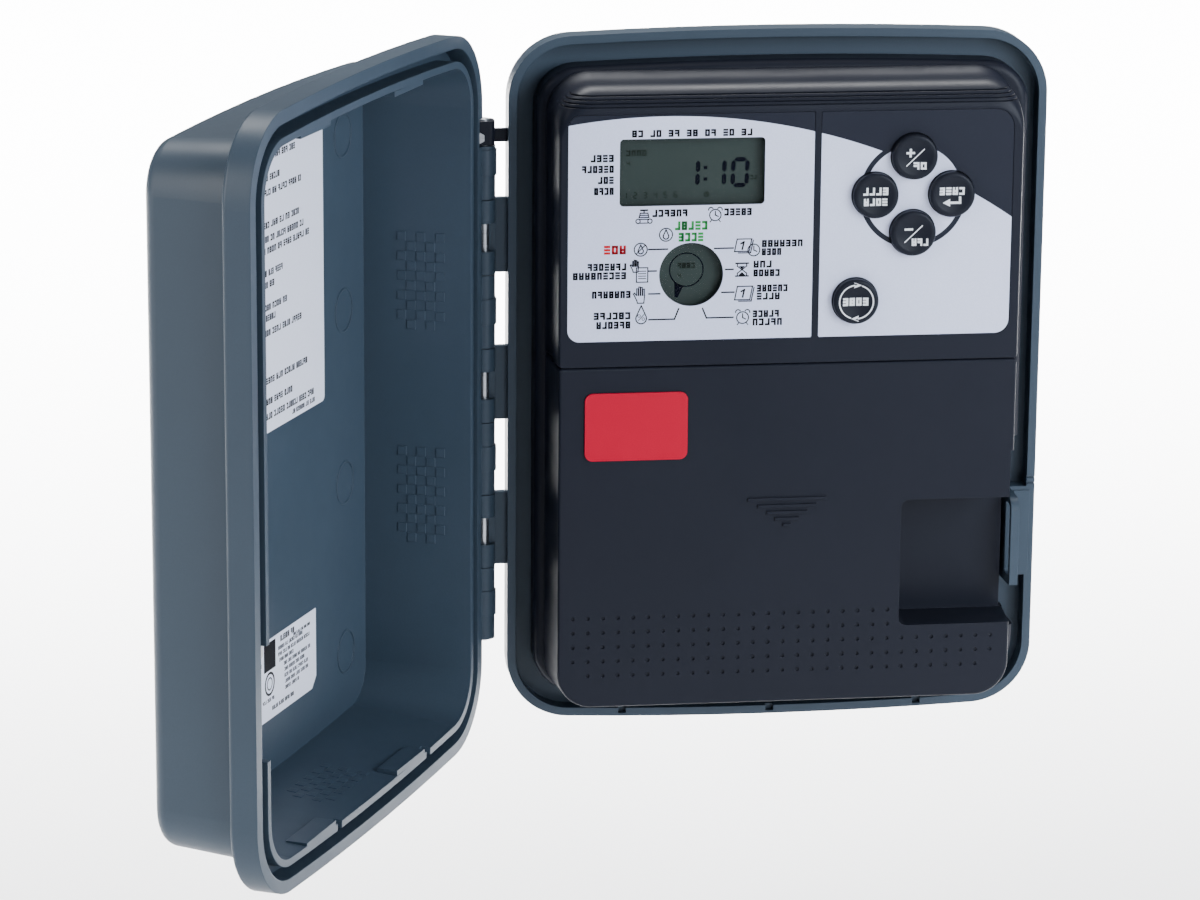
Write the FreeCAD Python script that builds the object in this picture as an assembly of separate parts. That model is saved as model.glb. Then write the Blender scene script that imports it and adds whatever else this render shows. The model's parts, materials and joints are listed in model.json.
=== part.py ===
import FreeCAD
import Part
import math
import os

# Outdoor irrigation controller: wall cabinet, hinged door, black control module.
# Millimetres, +Z up, +X right, wall plane at Y = 0, front towards -Y.

V = FreeCAD.Vector

# ---------------------------------------------------------------- cabinet
CABINET_HALF_W = 101.5
CABINET_HALF_H = 130.0
CROWN = 2.9
CORNER_R = 24.0
RIM_Y = -58.0
RIM_WIDTH = 3.2
RIM_DEPTH = 10.0
RECESS_DEPTH = 7.5
MODULE_BACK = 4.0
RECESS_FLOOR_T = 2.5
TUB_WALL = 2.5
TUB_INSET_FRONT = 7.0
TUB_INSET_BACK = 12.0
RECESS_OPENING_INSET = 12.0
LATCH_LEDGE = (86.0, 97.0, -92.0, -40.0)
RIM_GROOVES_Z = (-41.8, -44.0)
BACK_T = 2.5
NOTCH_X = (-57.2, 0.0, 57.3)
NOTCH_SIZE = (3.0, 2.4)
KEYHOLE_Z = 88.0
KEYHOLE_HEAD_R = 5.0
WALL_HOLE_R = 2.5
WALL_HOLE_X = 50.0
WALL_HOLE_Z = -105.0
CONDUIT_R = 11.1
CONDUIT_X = 38.0
CONDUIT_Y = RIM_Y + 31.0
CONDUIT_PAD_R = 15.5
CONDUIT_PAD_Z = (-125.0, -119.0)
TRANSFORMER_SCREW_Z = (-47.9, -100.1)
MODULE_SCREW_POS = ((-70.0, 105.0), (70.0, 105.0), (-70.0, -106.0), (70.0, -106.0))

# ---------------------------------------------------------------- strike
STRIKE_X0 = 88.3
STRIKE_X1 = 91.5
STRIKE_FRONT = 19.0
STRIKE_TOP = -45.3
STRIKE_BOTTOM_FRONT = -79.0
STRIKE_BOTTOM_BACK = -80.5
STRIKE_SLOT_Y = (9.8, 16.5)
STRIKE_SLOT_Z = (-76.0, -48.0)
BLOCK_Z = (-80.5, -45.3)

# ---------------------------------------------------------------- hinge
AXIS_X = -110.4
AXIS_Y = RIM_Y + 1.2
PIN_R = 1.95
PIN_TOP = 101.0
PIN_BOTTOM = -100.0
KNUCKLE_R = 4.3
BUMP_R = 4.7
BUMP_H = 9.6
KNUCKLE_PITCH = 28.25
ARM_HALF_H = 14.1
DOOR_KNUCKLES = ((70.9, 90.9, 84.75), (14.4, 42.1, 28.25), (-42.1, -14.4, -28.25), (-98.9, -70.9, -84.75))
PIN_FIT_FIXED = 0.03
PIN_FIT_RUNNING = 0.08
ARM_WINDOW_H = 10.6
RETAINER_Z = (91.3, 100.2)
RETAINER_BOLT = (-2.2, 94.2)
RETAINER_SWEEP_R = 6.8

# ---------------------------------------------------------------- door
DOOR_OPEN_ANGLE = 117.0
LIP_OUTSET = 5.2
GROOVE_OUTER_OUTSET = 0.6
GROOVE_INNER_INSET = 4.1
GROOVE_FLOOR = 6.0
RIB_INNER_INSET = 6.6
LIP_OVERLAP = 2.0
FLANGE_BACK = 8.5
BODY_INSET_STEP = 4.5
BODY_INSET_FRONT = 7.0
DOOR_FRONT = 42.5
DOOR_PANEL_INNER = 39.5
DOOR_EDGE_R = 5.0

# ---------------------------------------------------------------- lock
LOCK_X = 74.0
LOCK_Z = -53.3
LOCK_BARREL_R = 9.4
LOCK_HEAD_R = 11.5
LOCK_PLUG_R = 5.6
CAM_REACH = 18.5
CAM_HALF_W = 4.2
CAM_FRONT = 15.2
CAM_T = 1.8

# ---------------------------------------------------------------- control module
FACE = 30.4
FLANGE_INSET = 7.9
FLANGE_END_INSET = 3.0
FLANGE_LEFT_INSET = 1.9
FLANGE_FLOOR_INSET = 16.0
SKIRT_INSET = 11.8
PLATE_TOP = 107.0
MODULE_WALL = 2.2
SPLIT_Z = 12.7
SPLIT_GAP = 0.4
PLATE_FLOOR = 30.0
PLATE_T = 0.35
BUTTON_R = 8.45
BUTTON_HOLE_R = 8.8
BUTTON_FRONT = 33.6
BUTTON_RING_R = 14.3
RING_CENTRE = (45.0, 75.7)
DIAL_BUTTON = (24.1, 36.1)
LCD_WINDOW = (-64.1, -10.4, 73.1, 98.0)
DIAL_CENTRE = (-37.3, 47.2)
DIAL_R = 11.9
POCKET_X0 = 43.5
POCKET_Z = (-90.0, -41.0)
POCKET_FLOOR = 9.4
COVER_BOTTOM = -118.4
BADGE = (-76.4, -38.0, -22.7, 3.0)
STEP_X = 84.8
STEP_TOP = -23.0
HOUSING_NOTCH_Z = (-99.0, -24.0)
DIMPLE_R = 0.75

PARTS = {}


def rel(forward):
    """Y of a plane a given distance in front of the cabinet rim plane."""
    return RIM_Y - forward


def box(x0, x1, y0, y1, z0, z1):
    low = V(min(x0, x1), min(y0, y1), min(z0, z1))
    return Part.makeBox(abs(x1 - x0), abs(y1 - y0), abs(z1 - z0), low)


def rod_y(x, z, radius, y0, y1):
    low = min(y0, y1)
    return Part.makeCylinder(radius, abs(y1 - y0), V(x, low, z), V(0, 1, 0))


def rod_z(x, y, radius, z0, z1):
    low = min(z0, z1)
    return Part.makeCylinder(radius, abs(z1 - z0), V(x, y, low), V(0, 0, 1))


def arc(a, b, c):
    return Part.Arc(a, b, c).toShape()


def outline(inset, y):
    """Cabinet outline: straight sides, crowned top and bottom, tangent corner arcs."""
    big_r = (CABINET_HALF_W ** 2 + CROWN ** 2) / (2 * CROWN)
    centre_z = CABINET_HALF_H + CROWN - big_r
    corner_x = CABINET_HALF_W - CORNER_R
    corner_z = centre_z + math.sqrt((big_r - CORNER_R) ** 2 - corner_x ** 2)
    angle = math.atan2(corner_z - centre_z, corner_x)
    big = big_r - inset
    small = CORNER_R - inset
    side = CABINET_HALF_W - inset
    tangent_x = big * math.cos(angle)
    tangent_z = centre_z + big * math.sin(angle)
    half = angle / 2
    mid_x = corner_x + small * math.cos(half)
    mid_z = corner_z + small * math.sin(half)
    top_z = centre_z + big
    right_top = V(side, y, corner_z)
    left_top = V(-side, y, corner_z)
    right_low = V(side, y, -corner_z)
    left_low = V(-side, y, -corner_z)
    edges = [
        Part.makeLine(right_low, right_top),
        arc(right_top, V(mid_x, y, mid_z), V(tangent_x, y, tangent_z)),
        arc(V(tangent_x, y, tangent_z), V(0, y, top_z), V(-tangent_x, y, tangent_z)),
        arc(V(-tangent_x, y, tangent_z), V(-mid_x, y, mid_z), left_top),
        Part.makeLine(left_top, left_low),
        arc(left_low, V(-mid_x, y, -mid_z), V(-tangent_x, y, -tangent_z)),
        arc(V(-tangent_x, y, -tangent_z), V(0, y, -top_z), V(tangent_x, y, -tangent_z)),
        arc(V(tangent_x, y, -tangent_z), V(mid_x, y, -mid_z), right_low),
    ]
    return Part.Wire(edges)


def slab(inset, y0, y1):
    """Prism of the cabinet outline between two Y planes."""
    return Part.Face(outline(inset, y0)).extrude(V(0, y1 - y0, 0))


def drafted(inset0, y0, inset1, y1):
    return Part.makeLoft([outline(inset0, y0), outline(inset1, y1)], True, True)


def panel_outline(x0, x1, z0, z1, y, radii):
    """Rounded rectangle in an XZ plane. radii = (top_left, top_right, low_right, low_left)."""
    top_left, top_right, low_right, low_left = radii
    k = 1 - math.sqrt(0.5)
    edges = [
        Part.makeLine(V(x0 + top_left, y, z1), V(x1 - top_right, y, z1)),
        arc(V(x1 - top_right, y, z1), V(x1 - top_right * k, y, z1 - top_right * k),
            V(x1, y, z1 - top_right)),
        Part.makeLine(V(x1, y, z1 - top_right), V(x1, y, z0 + low_right)),
        arc(V(x1, y, z0 + low_right), V(x1 - low_right * k, y, z0 + low_right * k),
            V(x1 - low_right, y, z0)),
        Part.makeLine(V(x1 - low_right, y, z0), V(x0 + low_left, y, z0)),
        arc(V(x0 + low_left, y, z0), V(x0 + low_left * k, y, z0 + low_left * k),
            V(x0, y, z0 + low_left)),
        Part.makeLine(V(x0, y, z0 + low_left), V(x0, y, z1 - top_left)),
        arc(V(x0, y, z1 - top_left), V(x0 + top_left * k, y, z1 - top_left * k),
            V(x0 + top_left, y, z1)),
    ]
    return Part.Wire(edges)


def plate(x0, x1, z0, z1, y0, y1, radius):
    wire = panel_outline(x0, x1, z0, z1, y0, (radius,) * 4)
    return Part.Face(wire).extrude(V(0, y1 - y0, 0))


def fillet_edges(shape, radius, wanted):
    """Round the edges picked by a test on their centre of mass."""
    edges = [edge for edge in shape.Edges if wanted(edge)]
    return shape.makeFillet(radius, edges)


def hex_prism_y(x, z, across_flats, y0, y1):
    radius = across_flats / math.sqrt(3)
    points = []
    for step in range(7):
        turn = math.radians(60 * step + 30)
        points.append(V(x + radius * math.cos(turn), y0, z + radius * math.sin(turn)))
    return Part.Face(Part.makePolygon(points)).extrude(V(0, y1 - y0, 0))


def screw_y(x, z, head_r, head_t, shank_r, head_y, length, slot=0.8):
    """Pan-head screw driven towards +Y, head front at head_y."""
    head = rod_y(x, z, head_r, head_y, head_y + head_t)
    edge = [e for e in head.Edges if abs(e.CenterOfMass.y - head_y) < 1e-6 and len(e.Vertexes) == 1]
    head = head.makeFillet(head_t * 0.4, edge)
    shank = rod_y(x, z, shank_r, head_y + head_t, head_y + head_t + length)
    cross = box(x - head_r * 0.65, x + head_r * 0.65, head_y - 1, head_y + head_t * 0.5,
                z - slot / 2, z + slot / 2)
    cross = cross.fuse(box(x - slot / 2, x + slot / 2, head_y - 1, head_y + head_t * 0.5,
                           z - head_r * 0.65, z + head_r * 0.65))
    return head.fuse(shank).cut(cross)


def turned(shape, angle):
    """Swing a closed-door shape open about the hinge axis."""
    copy = shape.copy()
    copy.rotate(V(AXIS_X, AXIS_Y, 0), V(0, 0, 1), -angle)
    return copy


def add(name, shape):
    PARTS[name] = shape


def group(shapes):
    return Part.makeCompound(shapes)


# ================================================================ cabinet base
def make_cabinet_base():
    rim = slab(0, rel(0), rel(-RIM_DEPTH)).cut(slab(RIM_WIDTH, rel(1), rel(-RIM_DEPTH - 1)))
    floor_y = rel(-RECESS_DEPTH)
    floor = slab(0.5, floor_y, floor_y + RECESS_FLOOR_T)
    floor = floor.cut(slab(RECESS_OPENING_INSET, floor_y - 1, floor_y + RECESS_FLOOR_T + 1))
    x0, x1, z0, z1 = LATCH_LEDGE
    ledge = box(x0, x1, floor_y, floor_y + RECESS_FLOOR_T, z0, z1)
    tub_y = rel(-RIM_DEPTH) + 0.2
    tub = drafted(TUB_INSET_FRONT, tub_y - 1.0, TUB_INSET_BACK, 0.0)
    hollow = drafted(TUB_INSET_FRONT + TUB_WALL, tub_y - 1.5, TUB_INSET_BACK + TUB_WALL, -BACK_T)
    body = rim.fuse([floor, ledge, tub.cut(hollow)])
    boss_y = rel(-MODULE_BACK)
    for x, z in MODULE_SCREW_POS:
        body = body.fuse(rod_y(x, z, 4.2, boss_y, -BACK_T + 0.5))
    for z in TRANSFORMER_SCREW_Z:
        body = body.fuse(rod_y(-46.0, z, 4.0, -9.0, -BACK_T + 0.5))
    for side in (-1, 1):
        body = body.fuse(rod_z(side * CONDUIT_X, CONDUIT_Y, CONDUIT_PAD_R, *CONDUIT_PAD_Z))
    body = body.fuse(make_strike())
    for centre in (-2 * KNUCKLE_PITCH, 0.0, 2 * KNUCKLE_PITCH):
        body = body.fuse(make_base_arm(centre))
    cuts = []
    for x, z in MODULE_SCREW_POS:
        cuts.append(rod_y(x, z, 1.3, boss_y - 1, boss_y + 16))
    for z in TRANSFORMER_SCREW_Z:
        cuts.append(rod_y(-46.0, z, 1.3, -10.0, -4.0))
    for x in NOTCH_X:
        low = -(CABINET_HALF_H + CROWN * (1 - (x / CABINET_HALF_W) ** 2) - 1.1)
        cuts.append(box(x - NOTCH_SIZE[0] / 2, x + NOTCH_SIZE[0] / 2, rel(1), rel(-2.5),
                        low, low + NOTCH_SIZE[1] + 1.0))
    cuts.append(rod_y(0, KEYHOLE_Z, KEYHOLE_HEAD_R, -BACK_T - 1, 1))
    cuts.append(rod_y(0, KEYHOLE_Z + 9, WALL_HOLE_R, -BACK_T - 1, 1))
    cuts.append(box(-WALL_HOLE_R, WALL_HOLE_R, -BACK_T - 1, 1, KEYHOLE_Z, KEYHOLE_Z + 9))
    for side in (-1, 1):
        cuts.append(rod_y(side * WALL_HOLE_X, WALL_HOLE_Z, WALL_HOLE_R, -BACK_T - 1, 1))
        cuts.append(rod_z(side * CONDUIT_X, CONDUIT_Y, CONDUIT_R, -135.0, -105.0))
    cuts.append(rod_y(52.0, -60.0, 2.1, -BACK_T - 1, 1))
    rim_x = CABINET_HALF_W - RIM_WIDTH
    for z in RIM_GROOVES_Z:
        cuts.append(box(rim_x - 1, CABINET_HALF_W + 1, rel(1), rel(-0.8), z - 0.4, z + 0.4))
    return body.cut(cuts)


def make_strike():
    """Hasp plate with the slot that the cam turns into, on its widened block."""
    back = rel(-RECESS_DEPTH - 1)
    front = rel(STRIKE_FRONT)
    points = [
        V(STRIKE_X0, back, STRIKE_TOP), V(STRIKE_X0, front, STRIKE_TOP),
        V(STRIKE_X0, front, STRIKE_BOTTOM_FRONT), V(STRIKE_X0, back, STRIKE_BOTTOM_BACK),
        V(STRIKE_X0, back, STRIKE_TOP),
    ]
    blade = Part.Face(Part.makePolygon(points)).extrude(V(STRIKE_X1 - STRIKE_X0, 0, 0))
    blade = fillet_edges(blade, 5.0, lambda e: abs(e.CenterOfMass.y - front) < 0.01
                         and abs(e.CenterOfMass.z - STRIKE_TOP) < 0.01)
    slot = box(STRIKE_X0 - 1, STRIKE_X1 + 1, rel(STRIKE_SLOT_Y[0]), rel(STRIKE_SLOT_Y[1]),
               STRIKE_SLOT_Z[0], STRIKE_SLOT_Z[1])
    slot = fillet_edges(slot, 1.5, lambda e: abs(e.CenterOfMass.x - 89.9) < 0.2)
    block = box(STRIKE_X0, CABINET_HALF_W - 2.0, rel(0), rel(-RECESS_DEPTH - 1), BLOCK_Z[0], BLOCK_Z[1])
    pads = box(STRIKE_X1 + 1.8, CABINET_HALF_W - 2.0, rel(0.6), rel(0), BLOCK_Z[0] + 1.5, BLOCK_Z[1] - 1.5)
    return blade.cut(slot).fuse([block, pads])


def make_base_arm(centre):
    """Knuckle with a front window onto the pin, and its leaf to the rim side."""
    low, high = centre - ARM_HALF_H, centre + ARM_HALF_H
    knuckle = rod_z(AXIS_X, AXIS_Y, KNUCKLE_R, low, high)
    leaf = box(AXIS_X, -CABINET_HALF_W + 1.0, rel(-2.6), rel(-5.5), low, high)
    arm = knuckle.fuse(leaf)
    window = box(AXIS_X - 6, AXIS_X + 6, AXIS_Y - 6, AXIS_Y - 0.2,
                 centre - ARM_WINDOW_H / 2, centre + ARM_WINDOW_H / 2)
    bore = rod_z(AXIS_X, AXIS_Y, PIN_R + PIN_FIT_FIXED, low - 1, high + 1)
    return arm.cut([window, bore])


# ================================================================ hinge parts
def make_hinge_pin():
    pin = rod_z(AXIS_X, AXIS_Y, PIN_R, PIN_BOTTOM, PIN_TOP)
    return pin.makeChamfer(0.4, [e for e in pin.Edges if len(e.Vertexes) == 1])


def make_pin_retainer():
    """Cap round the top of the pin, with its arm to the side of the cabinet rim."""
    low, high = RETAINER_Z
    block = box(AXIS_X - 5.0, AXIS_X + 3.8, AXIS_Y - 3.6, AXIS_Y + 4.2, low, high)
    block = fillet_edges(block, 2.0, lambda e: abs(e.CenterOfMass.z - (low + high) / 2) < 0.01)
    arm = box(AXIS_X, -CABINET_HALF_W, rel(-2.7), rel(-5.2), 91.7, 96.5)
    bore = rod_z(AXIS_X, AXIS_Y, PIN_R + PIN_FIT_FIXED, low - 1, high + 1)
    bolt_hole = rod_y(AXIS_X + RETAINER_BOLT[0], RETAINER_BOLT[1], 1.0, AXIS_Y - 5, AXIS_Y)
    return block.fuse(arm).cut([bore, bolt_hole])


def make_retainer_bolt():
    """Hex grub bolt that bears on the pin."""
    x, z = AXIS_X + RETAINER_BOLT[0], RETAINER_BOLT[1]
    head = hex_prism_y(x, z, 3.6, AXIS_Y - 4.9, AXIS_Y - 3.6)
    return head.fuse(rod_y(x, z, 0.95, AXIS_Y - 3.6, AXIS_Y - 2.0))


# ================================================================ door
def make_door_shell():
    lip_y = rel(-LIP_OVERLAP)
    back_y = rel(FLANGE_BACK)
    flange = slab(-LIP_OUTSET, back_y, lip_y)
    flange = fillet_edges(flange, 1.6, lambda e: abs(e.CenterOfMass.y - back_y) < 0.01)
    body = drafted(BODY_INSET_STEP, back_y + 2.0, BODY_INSET_FRONT, rel(DOOR_FRONT))
    front_y = rel(DOOR_FRONT)
    body = fillet_edges(body, DOOR_EDGE_R, lambda e: abs(e.CenterOfMass.y - front_y) < 0.01)
    groove = slab(-GROOVE_OUTER_OUTSET, rel(GROOVE_FLOOR), lip_y + 1)
    groove = groove.cut(slab(GROOVE_INNER_INSET, rel(GROOVE_FLOOR) - 1, lip_y + 2))
    hollow = drafted(RIB_INNER_INSET, lip_y + 1, BODY_INSET_FRONT + 3.0, rel(DOOR_PANEL_INNER))
    shell = flange.fuse(body).cut([groove, hollow])
    shell = shell.fuse(door_rib_steps())
    for low, high, bump in DOOR_KNUCKLES:
        shell = shell.fuse(make_door_knuckle(low, high, bump))
    cuts = []
    for centre in (-2 * KNUCKLE_PITCH, 0.0, 2 * KNUCKLE_PITCH):
        cuts.append(rod_z(AXIS_X, AXIS_Y, KNUCKLE_R + 0.5, centre - ARM_HALF_H - 0.3,
                          centre + ARM_HALF_H + 0.3))
    cuts.append(rod_z(AXIS_X, AXIS_Y, RETAINER_SWEEP_R, RETAINER_Z[0] - 0.4, RETAINER_Z[1] + 1.3))
    cuts.append(rod_z(AXIS_X, AXIS_Y, PIN_R + PIN_FIT_RUNNING, -101, 102))
    cuts.append(box(93.0, 99.0, rel(1.2), rel(-3), -84.0, -43.0))
    for x in (-50.9, 34.5):
        cuts.append(box(x - 2.0, x + 2.0, rel(1.5), rel(-3), -129.5, -123.0))
    cuts.append(rod_y(LOCK_X, LOCK_Z, LOCK_BARREL_R, rel(DOOR_FRONT + 3), rel(DOOR_PANEL_INNER - 3)))
    return shell.cut(cuts)


def door_rib_steps():
    """Stiffer stretches of the inner rib, and shallow round bosses on the panel."""
    extras = []
    step_z = CABINET_HALF_H + 2.0 - RIB_INNER_INSET
    for x0, x1 in ((-47.0, -20.0), (38.0, 64.0)):
        for side in (-1, 1):
            extras.append(box(x0, x1, rel(-LIP_OVERLAP), rel(GROOVE_FLOOR),
                              side * (step_z - 1.4), side * (step_z + 0.5)))
    panel_y = rel(DOOR_PANEL_INNER)
    for z in (98.5, 33.0, -32.5, -98.0):
        ring = rod_y(-72.0, z, 8.3, panel_y - 0.5, panel_y + 0.35)
        extras.append(ring.cut(rod_y(-72.0, z, 7.6, panel_y - 1, panel_y + 1)))
    return extras


def make_door_knuckle(low, high, bump):
    knuckle = rod_z(AXIS_X, AXIS_Y, KNUCKLE_R - 0.1, low, high)
    middle = rod_z(AXIS_X, AXIS_Y, BUMP_R, bump - BUMP_H / 2, bump + BUMP_H / 2)
    web = box(AXIS_X, -105.0, AXIS_Y - 4.2, AXIS_Y - 0.4, low, high)
    relief = box(AXIS_X - 6, AXIS_X - 1.2, AXIS_Y - 6, AXIS_Y + 6, low - 1, bump - BUMP_H / 2 - 1.5)
    relief = relief.cut(box(AXIS_X - 7, AXIS_X, AXIS_Y - 7, AXIS_Y + 7, low - 2, low + 2.5))
    return knuckle.fuse([middle, web]).cut(relief)


def make_labels():
    panel_y = rel(DOOR_PANEL_INNER)
    t = 0.2
    instruction = plate(-53.0, 62.0, 3.5, 106.0, panel_y, panel_y + t, 2.0)
    x0, x1, z0, z1, clip = -43.0, 24.0, -103.0, -73.0, 4.0
    points = [V(x0 + clip, panel_y, z0), V(x1, panel_y, z0), V(x1, panel_y, z1), V(x0, panel_y, z1),
              V(x0, panel_y, z0 + clip), V(x0 + clip, panel_y, z0)]
    data = Part.Face(Part.makePolygon(points)).extrude(V(0, t, 0))
    return instruction, data


# ================================================================ cam lock
def make_lock_body():
    head = rod_y(LOCK_X, LOCK_Z, LOCK_HEAD_R, rel(DOOR_FRONT + 2.2), rel(DOOR_FRONT))
    head = fillet_edges(head, 1.0, lambda e: abs(e.CenterOfMass.y - rel(DOOR_FRONT + 2.2)) < 0.01)
    barrel = rod_y(LOCK_X, LOCK_Z, LOCK_BARREL_R - 0.05, rel(DOOR_FRONT), rel(17.2))
    grooves = []
    for step in range(8):
        y = rel(34.5 - 2.0 * step)
        ring = rod_y(LOCK_X, LOCK_Z, LOCK_BARREL_R + 1, y, y + 0.8)
        grooves.append(ring.cut(rod_y(LOCK_X, LOCK_Z, LOCK_BARREL_R - 0.6, y - 1, y + 2)))
    bore = rod_y(LOCK_X, LOCK_Z, LOCK_PLUG_R + 0.08, rel(DOOR_FRONT + 3), rel(16))
    return head.fuse(barrel).cut(grooves + [bore])


def make_lock_nut():
    nut = hex_prism_y(LOCK_X, LOCK_Z, 24.0, rel(DOOR_PANEL_INNER), rel(DOOR_PANEL_INNER - 3.4))
    return nut.cut(rod_y(LOCK_X, LOCK_Z, LOCK_BARREL_R, rel(DOOR_PANEL_INNER + 1), rel(30)))


def make_lock_plug():
    plug = rod_y(LOCK_X, LOCK_Z, LOCK_PLUG_R, rel(DOOR_FRONT + 2.0), rel(16.4))
    tail = box(LOCK_X - 3.2, LOCK_X + 3.2, rel(16.4), rel(CAM_FRONT - CAM_T), LOCK_Z - 3.2, LOCK_Z + 3.2)
    key = box(LOCK_X - 0.7, LOCK_X + 0.7, rel(DOOR_FRONT + 3), rel(20), LOCK_Z - 4.0, LOCK_Z + 3.0)
    thread = rod_y(LOCK_X, LOCK_Z, 1.4, rel(22), rel(10))
    return plug.fuse(tail).cut([key, thread])


def make_lock_cam():
    """Flat cam hanging down in the unlocked position, with a square hole on the plug tail."""
    y0, y1 = rel(CAM_FRONT), rel(CAM_FRONT - CAM_T)
    low = LOCK_Z - CAM_REACH + CAM_HALF_W
    arm = box(LOCK_X - CAM_HALF_W, LOCK_X + CAM_HALF_W, y0, y1, low, LOCK_Z)
    tip = rod_y(LOCK_X, low, CAM_HALF_W, y0, y1)
    eye = rod_y(LOCK_X, LOCK_Z, 7.0, y0, y1)
    square = box(LOCK_X - 3.25, LOCK_X + 3.25, y0 - 1, y1 + 1, LOCK_Z - 3.25, LOCK_Z + 3.25)
    return arm.fuse([tip, eye]).cut(square)


def make_cam_screw():
    head_y = rel(CAM_FRONT - CAM_T)
    head = hex_prism_y(LOCK_X, LOCK_Z, 8.0, head_y, head_y + 2.2)
    shank = rod_y(LOCK_X, LOCK_Z, 1.35, head_y - 7.0, head_y)
    washer = rod_y(LOCK_X, LOCK_Z, 4.8, head_y, head_y + 0.6)
    return head.fuse([shank, washer])


# ================================================================ control module
def make_module_housing():
    """Black mounting frame: sloped outer flange, floor with wiring window and screw holes."""
    back = rel(-RECESS_DEPTH)
    front = rel(5.0)
    body = shortened(FLANGE_INSET, front, back)
    body = fillet_edges(body, 3.2, lambda e: abs(e.CenterOfMass.y - front) < 0.01)
    left_trim = body.copy()
    left_trim.translate(V(FLANGE_LEFT_INSET, 0, 0))
    body = body.common(left_trim)
    hollow = slab(FLANGE_FLOOR_INSET, front - 1, rel(-1.8))
    under = shortened(SKIRT_INSET, rel(-MODULE_BACK), back + 1)
    cuts = [hollow, under]
    cuts.append(box(LATCH_LEDGE[0] + 0.4, 96.0, rel(6), back + 1, *HOUSING_NOTCH_Z))
    cuts.append(plate(-24.0, 36.0, -84.0, -58.0, rel(0), rel(-5), 3.0))
    for x, z in MODULE_SCREW_POS:
        cuts.append(rod_y(x, z, 1.9, rel(0), rel(-5)))
    for x in (-60.0, 60.0):
        for z in (17.8, 109.5):
            cuts.append(rod_y(x, z, 1.7, rel(0), rel(-5)))
    return body.cut(cuts)


def shortened(inset, y0, y1):
    """Outline prism with its crowned ends drawn in further than its sides."""
    prism = slab(inset, y0, y1)
    for shift in (-FLANGE_END_INSET, FLANGE_END_INSET):
        moved = slab(inset, y0, y1)
        moved.translate(V(0, 0, shift))
        prism = prism.common(moved)
    return prism


def fascia_section(inset, y, width, top, radius):
    return panel_outline(-width + inset, width - inset, SPLIT_Z + SPLIT_GAP / 2 + inset, top - inset, y,
                         (radius, radius, 1.2, 1.2))


FASCIA_PROFILE = (
    (5.0, 88.0, 119.2, 16.0),
    (11.0, 86.9, 117.2, 15.0),
    (16.0, 86.7, 116.6, 14.5),
    (21.0, 87.0, 116.9, 14.5),
    (25.5, 86.7, 115.7, 14.0),
    (28.6, 86.4, 113.0, 13.0),
    (FACE, 85.6, 108.2, 12.0),
)


def fascia_solid(inset, front_cut):
    sections = []
    for forward, width, top, radius in FASCIA_PROFILE:
        sections.append(fascia_section(inset, rel(forward - front_cut), width, top, radius))
    return Part.makeLoft(sections, True, False)


def button_centres():
    cx, cz = RING_CENTRE
    return {
        "button_plus": (cx, cz + BUTTON_RING_R),
        "button_program": (cx - BUTTON_RING_R, cz),
        "button_next": (cx + BUTTON_RING_R, cz),
        "button_minus": (cx, cz - BUTTON_RING_R),
        "button_dial": DIAL_BUTTON,
    }


def make_module_fascia():
    outer = fascia_solid(0.0, 0.0)
    hollow = fascia_solid(MODULE_WALL, MODULE_WALL)
    hollow = hollow.fuse(box(-80, 80, rel(6), rel(2), SPLIT_Z + 5, 110))
    body = outer.cut(hollow)
    for x in (-60.0, 60.0):
        for z in (17.8, 109.5):
            boss = rod_y(x, z, 3.4, rel(FACE - MODULE_WALL + 0.5), rel(-1.8))
            body = body.fuse(boss.cut(rod_y(x, z, 1.25, rel(20), rel(-3))))
    for x in (-78.5, 78.5):
        for z in (27.0, 96.0):
            boss = rod_y(x, z, 3.0, rel(FACE - MODULE_WALL + 0.5), rel(19.6))
            body = body.fuse(boss.cut(rod_y(x, z, 1.0, rel(26), rel(19))))
    cuts = []
    x0, x1, z0, z1 = LCD_WINDOW
    cuts.append(plate(x0, x1, z0, z1, rel(FACE + 1), rel(24), 1.5))
    cuts.append(rod_y(DIAL_CENTRE[0], DIAL_CENTRE[1], DIAL_R, rel(FACE + 1), rel(24)))
    for x, z in button_centres().values():
        cuts.append(rod_y(x, z, BUTTON_HOLE_R, rel(FACE + 1), rel(24)))
    cuts.append(left_plate_shape(rel(FACE + 1), rel(PLATE_FLOOR), 0.15))
    cuts.append(right_plate_shape(rel(FACE + 1), rel(PLATE_FLOOR), 0.15))
    body = body.cut(cuts)
    skin = outer.cut(fascia_solid(0.45, 0.45))
    for z in (109.6, 110.9, 112.2, 113.5):
        groove = box(-95, 95, rel(FACE + 1), rel(18), z, z + 0.4).common(skin)
        body = body.cut(groove)
    return body


def left_plate_shape(y0, y1, grow):
    wire = panel_outline(-83.0 - grow, 7.9 + grow, 22.5 - grow, PLATE_TOP + grow, y0, (4.5, 0.6, 0.6, 4.5))
    return Part.Face(wire).extrude(V(0, y1 - y0, 0))


def right_plate_shape(y0, y1, grow):
    wire = panel_outline(10.5 - grow, 82.3 + grow, 22.5 - grow, PLATE_TOP + grow, y0, (0.6, 7.0, 5.3, 0.6))
    return Part.Face(wire).extrude(V(0, y1 - y0, 0))


def make_display_plate():
    y0, y1 = rel(PLATE_FLOOR + PLATE_T), rel(PLATE_FLOOR)
    x0, x1, z0, z1 = LCD_WINDOW
    shape = left_plate_shape(y0, y1, 0.0)
    window = plate(x0, x1, z0, z1, y0 - 1, y1 + 1, 1.5)
    return shape.cut([window, rod_y(DIAL_CENTRE[0], DIAL_CENTRE[1], DIAL_R, y0 - 1, y1 + 1)])


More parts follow.
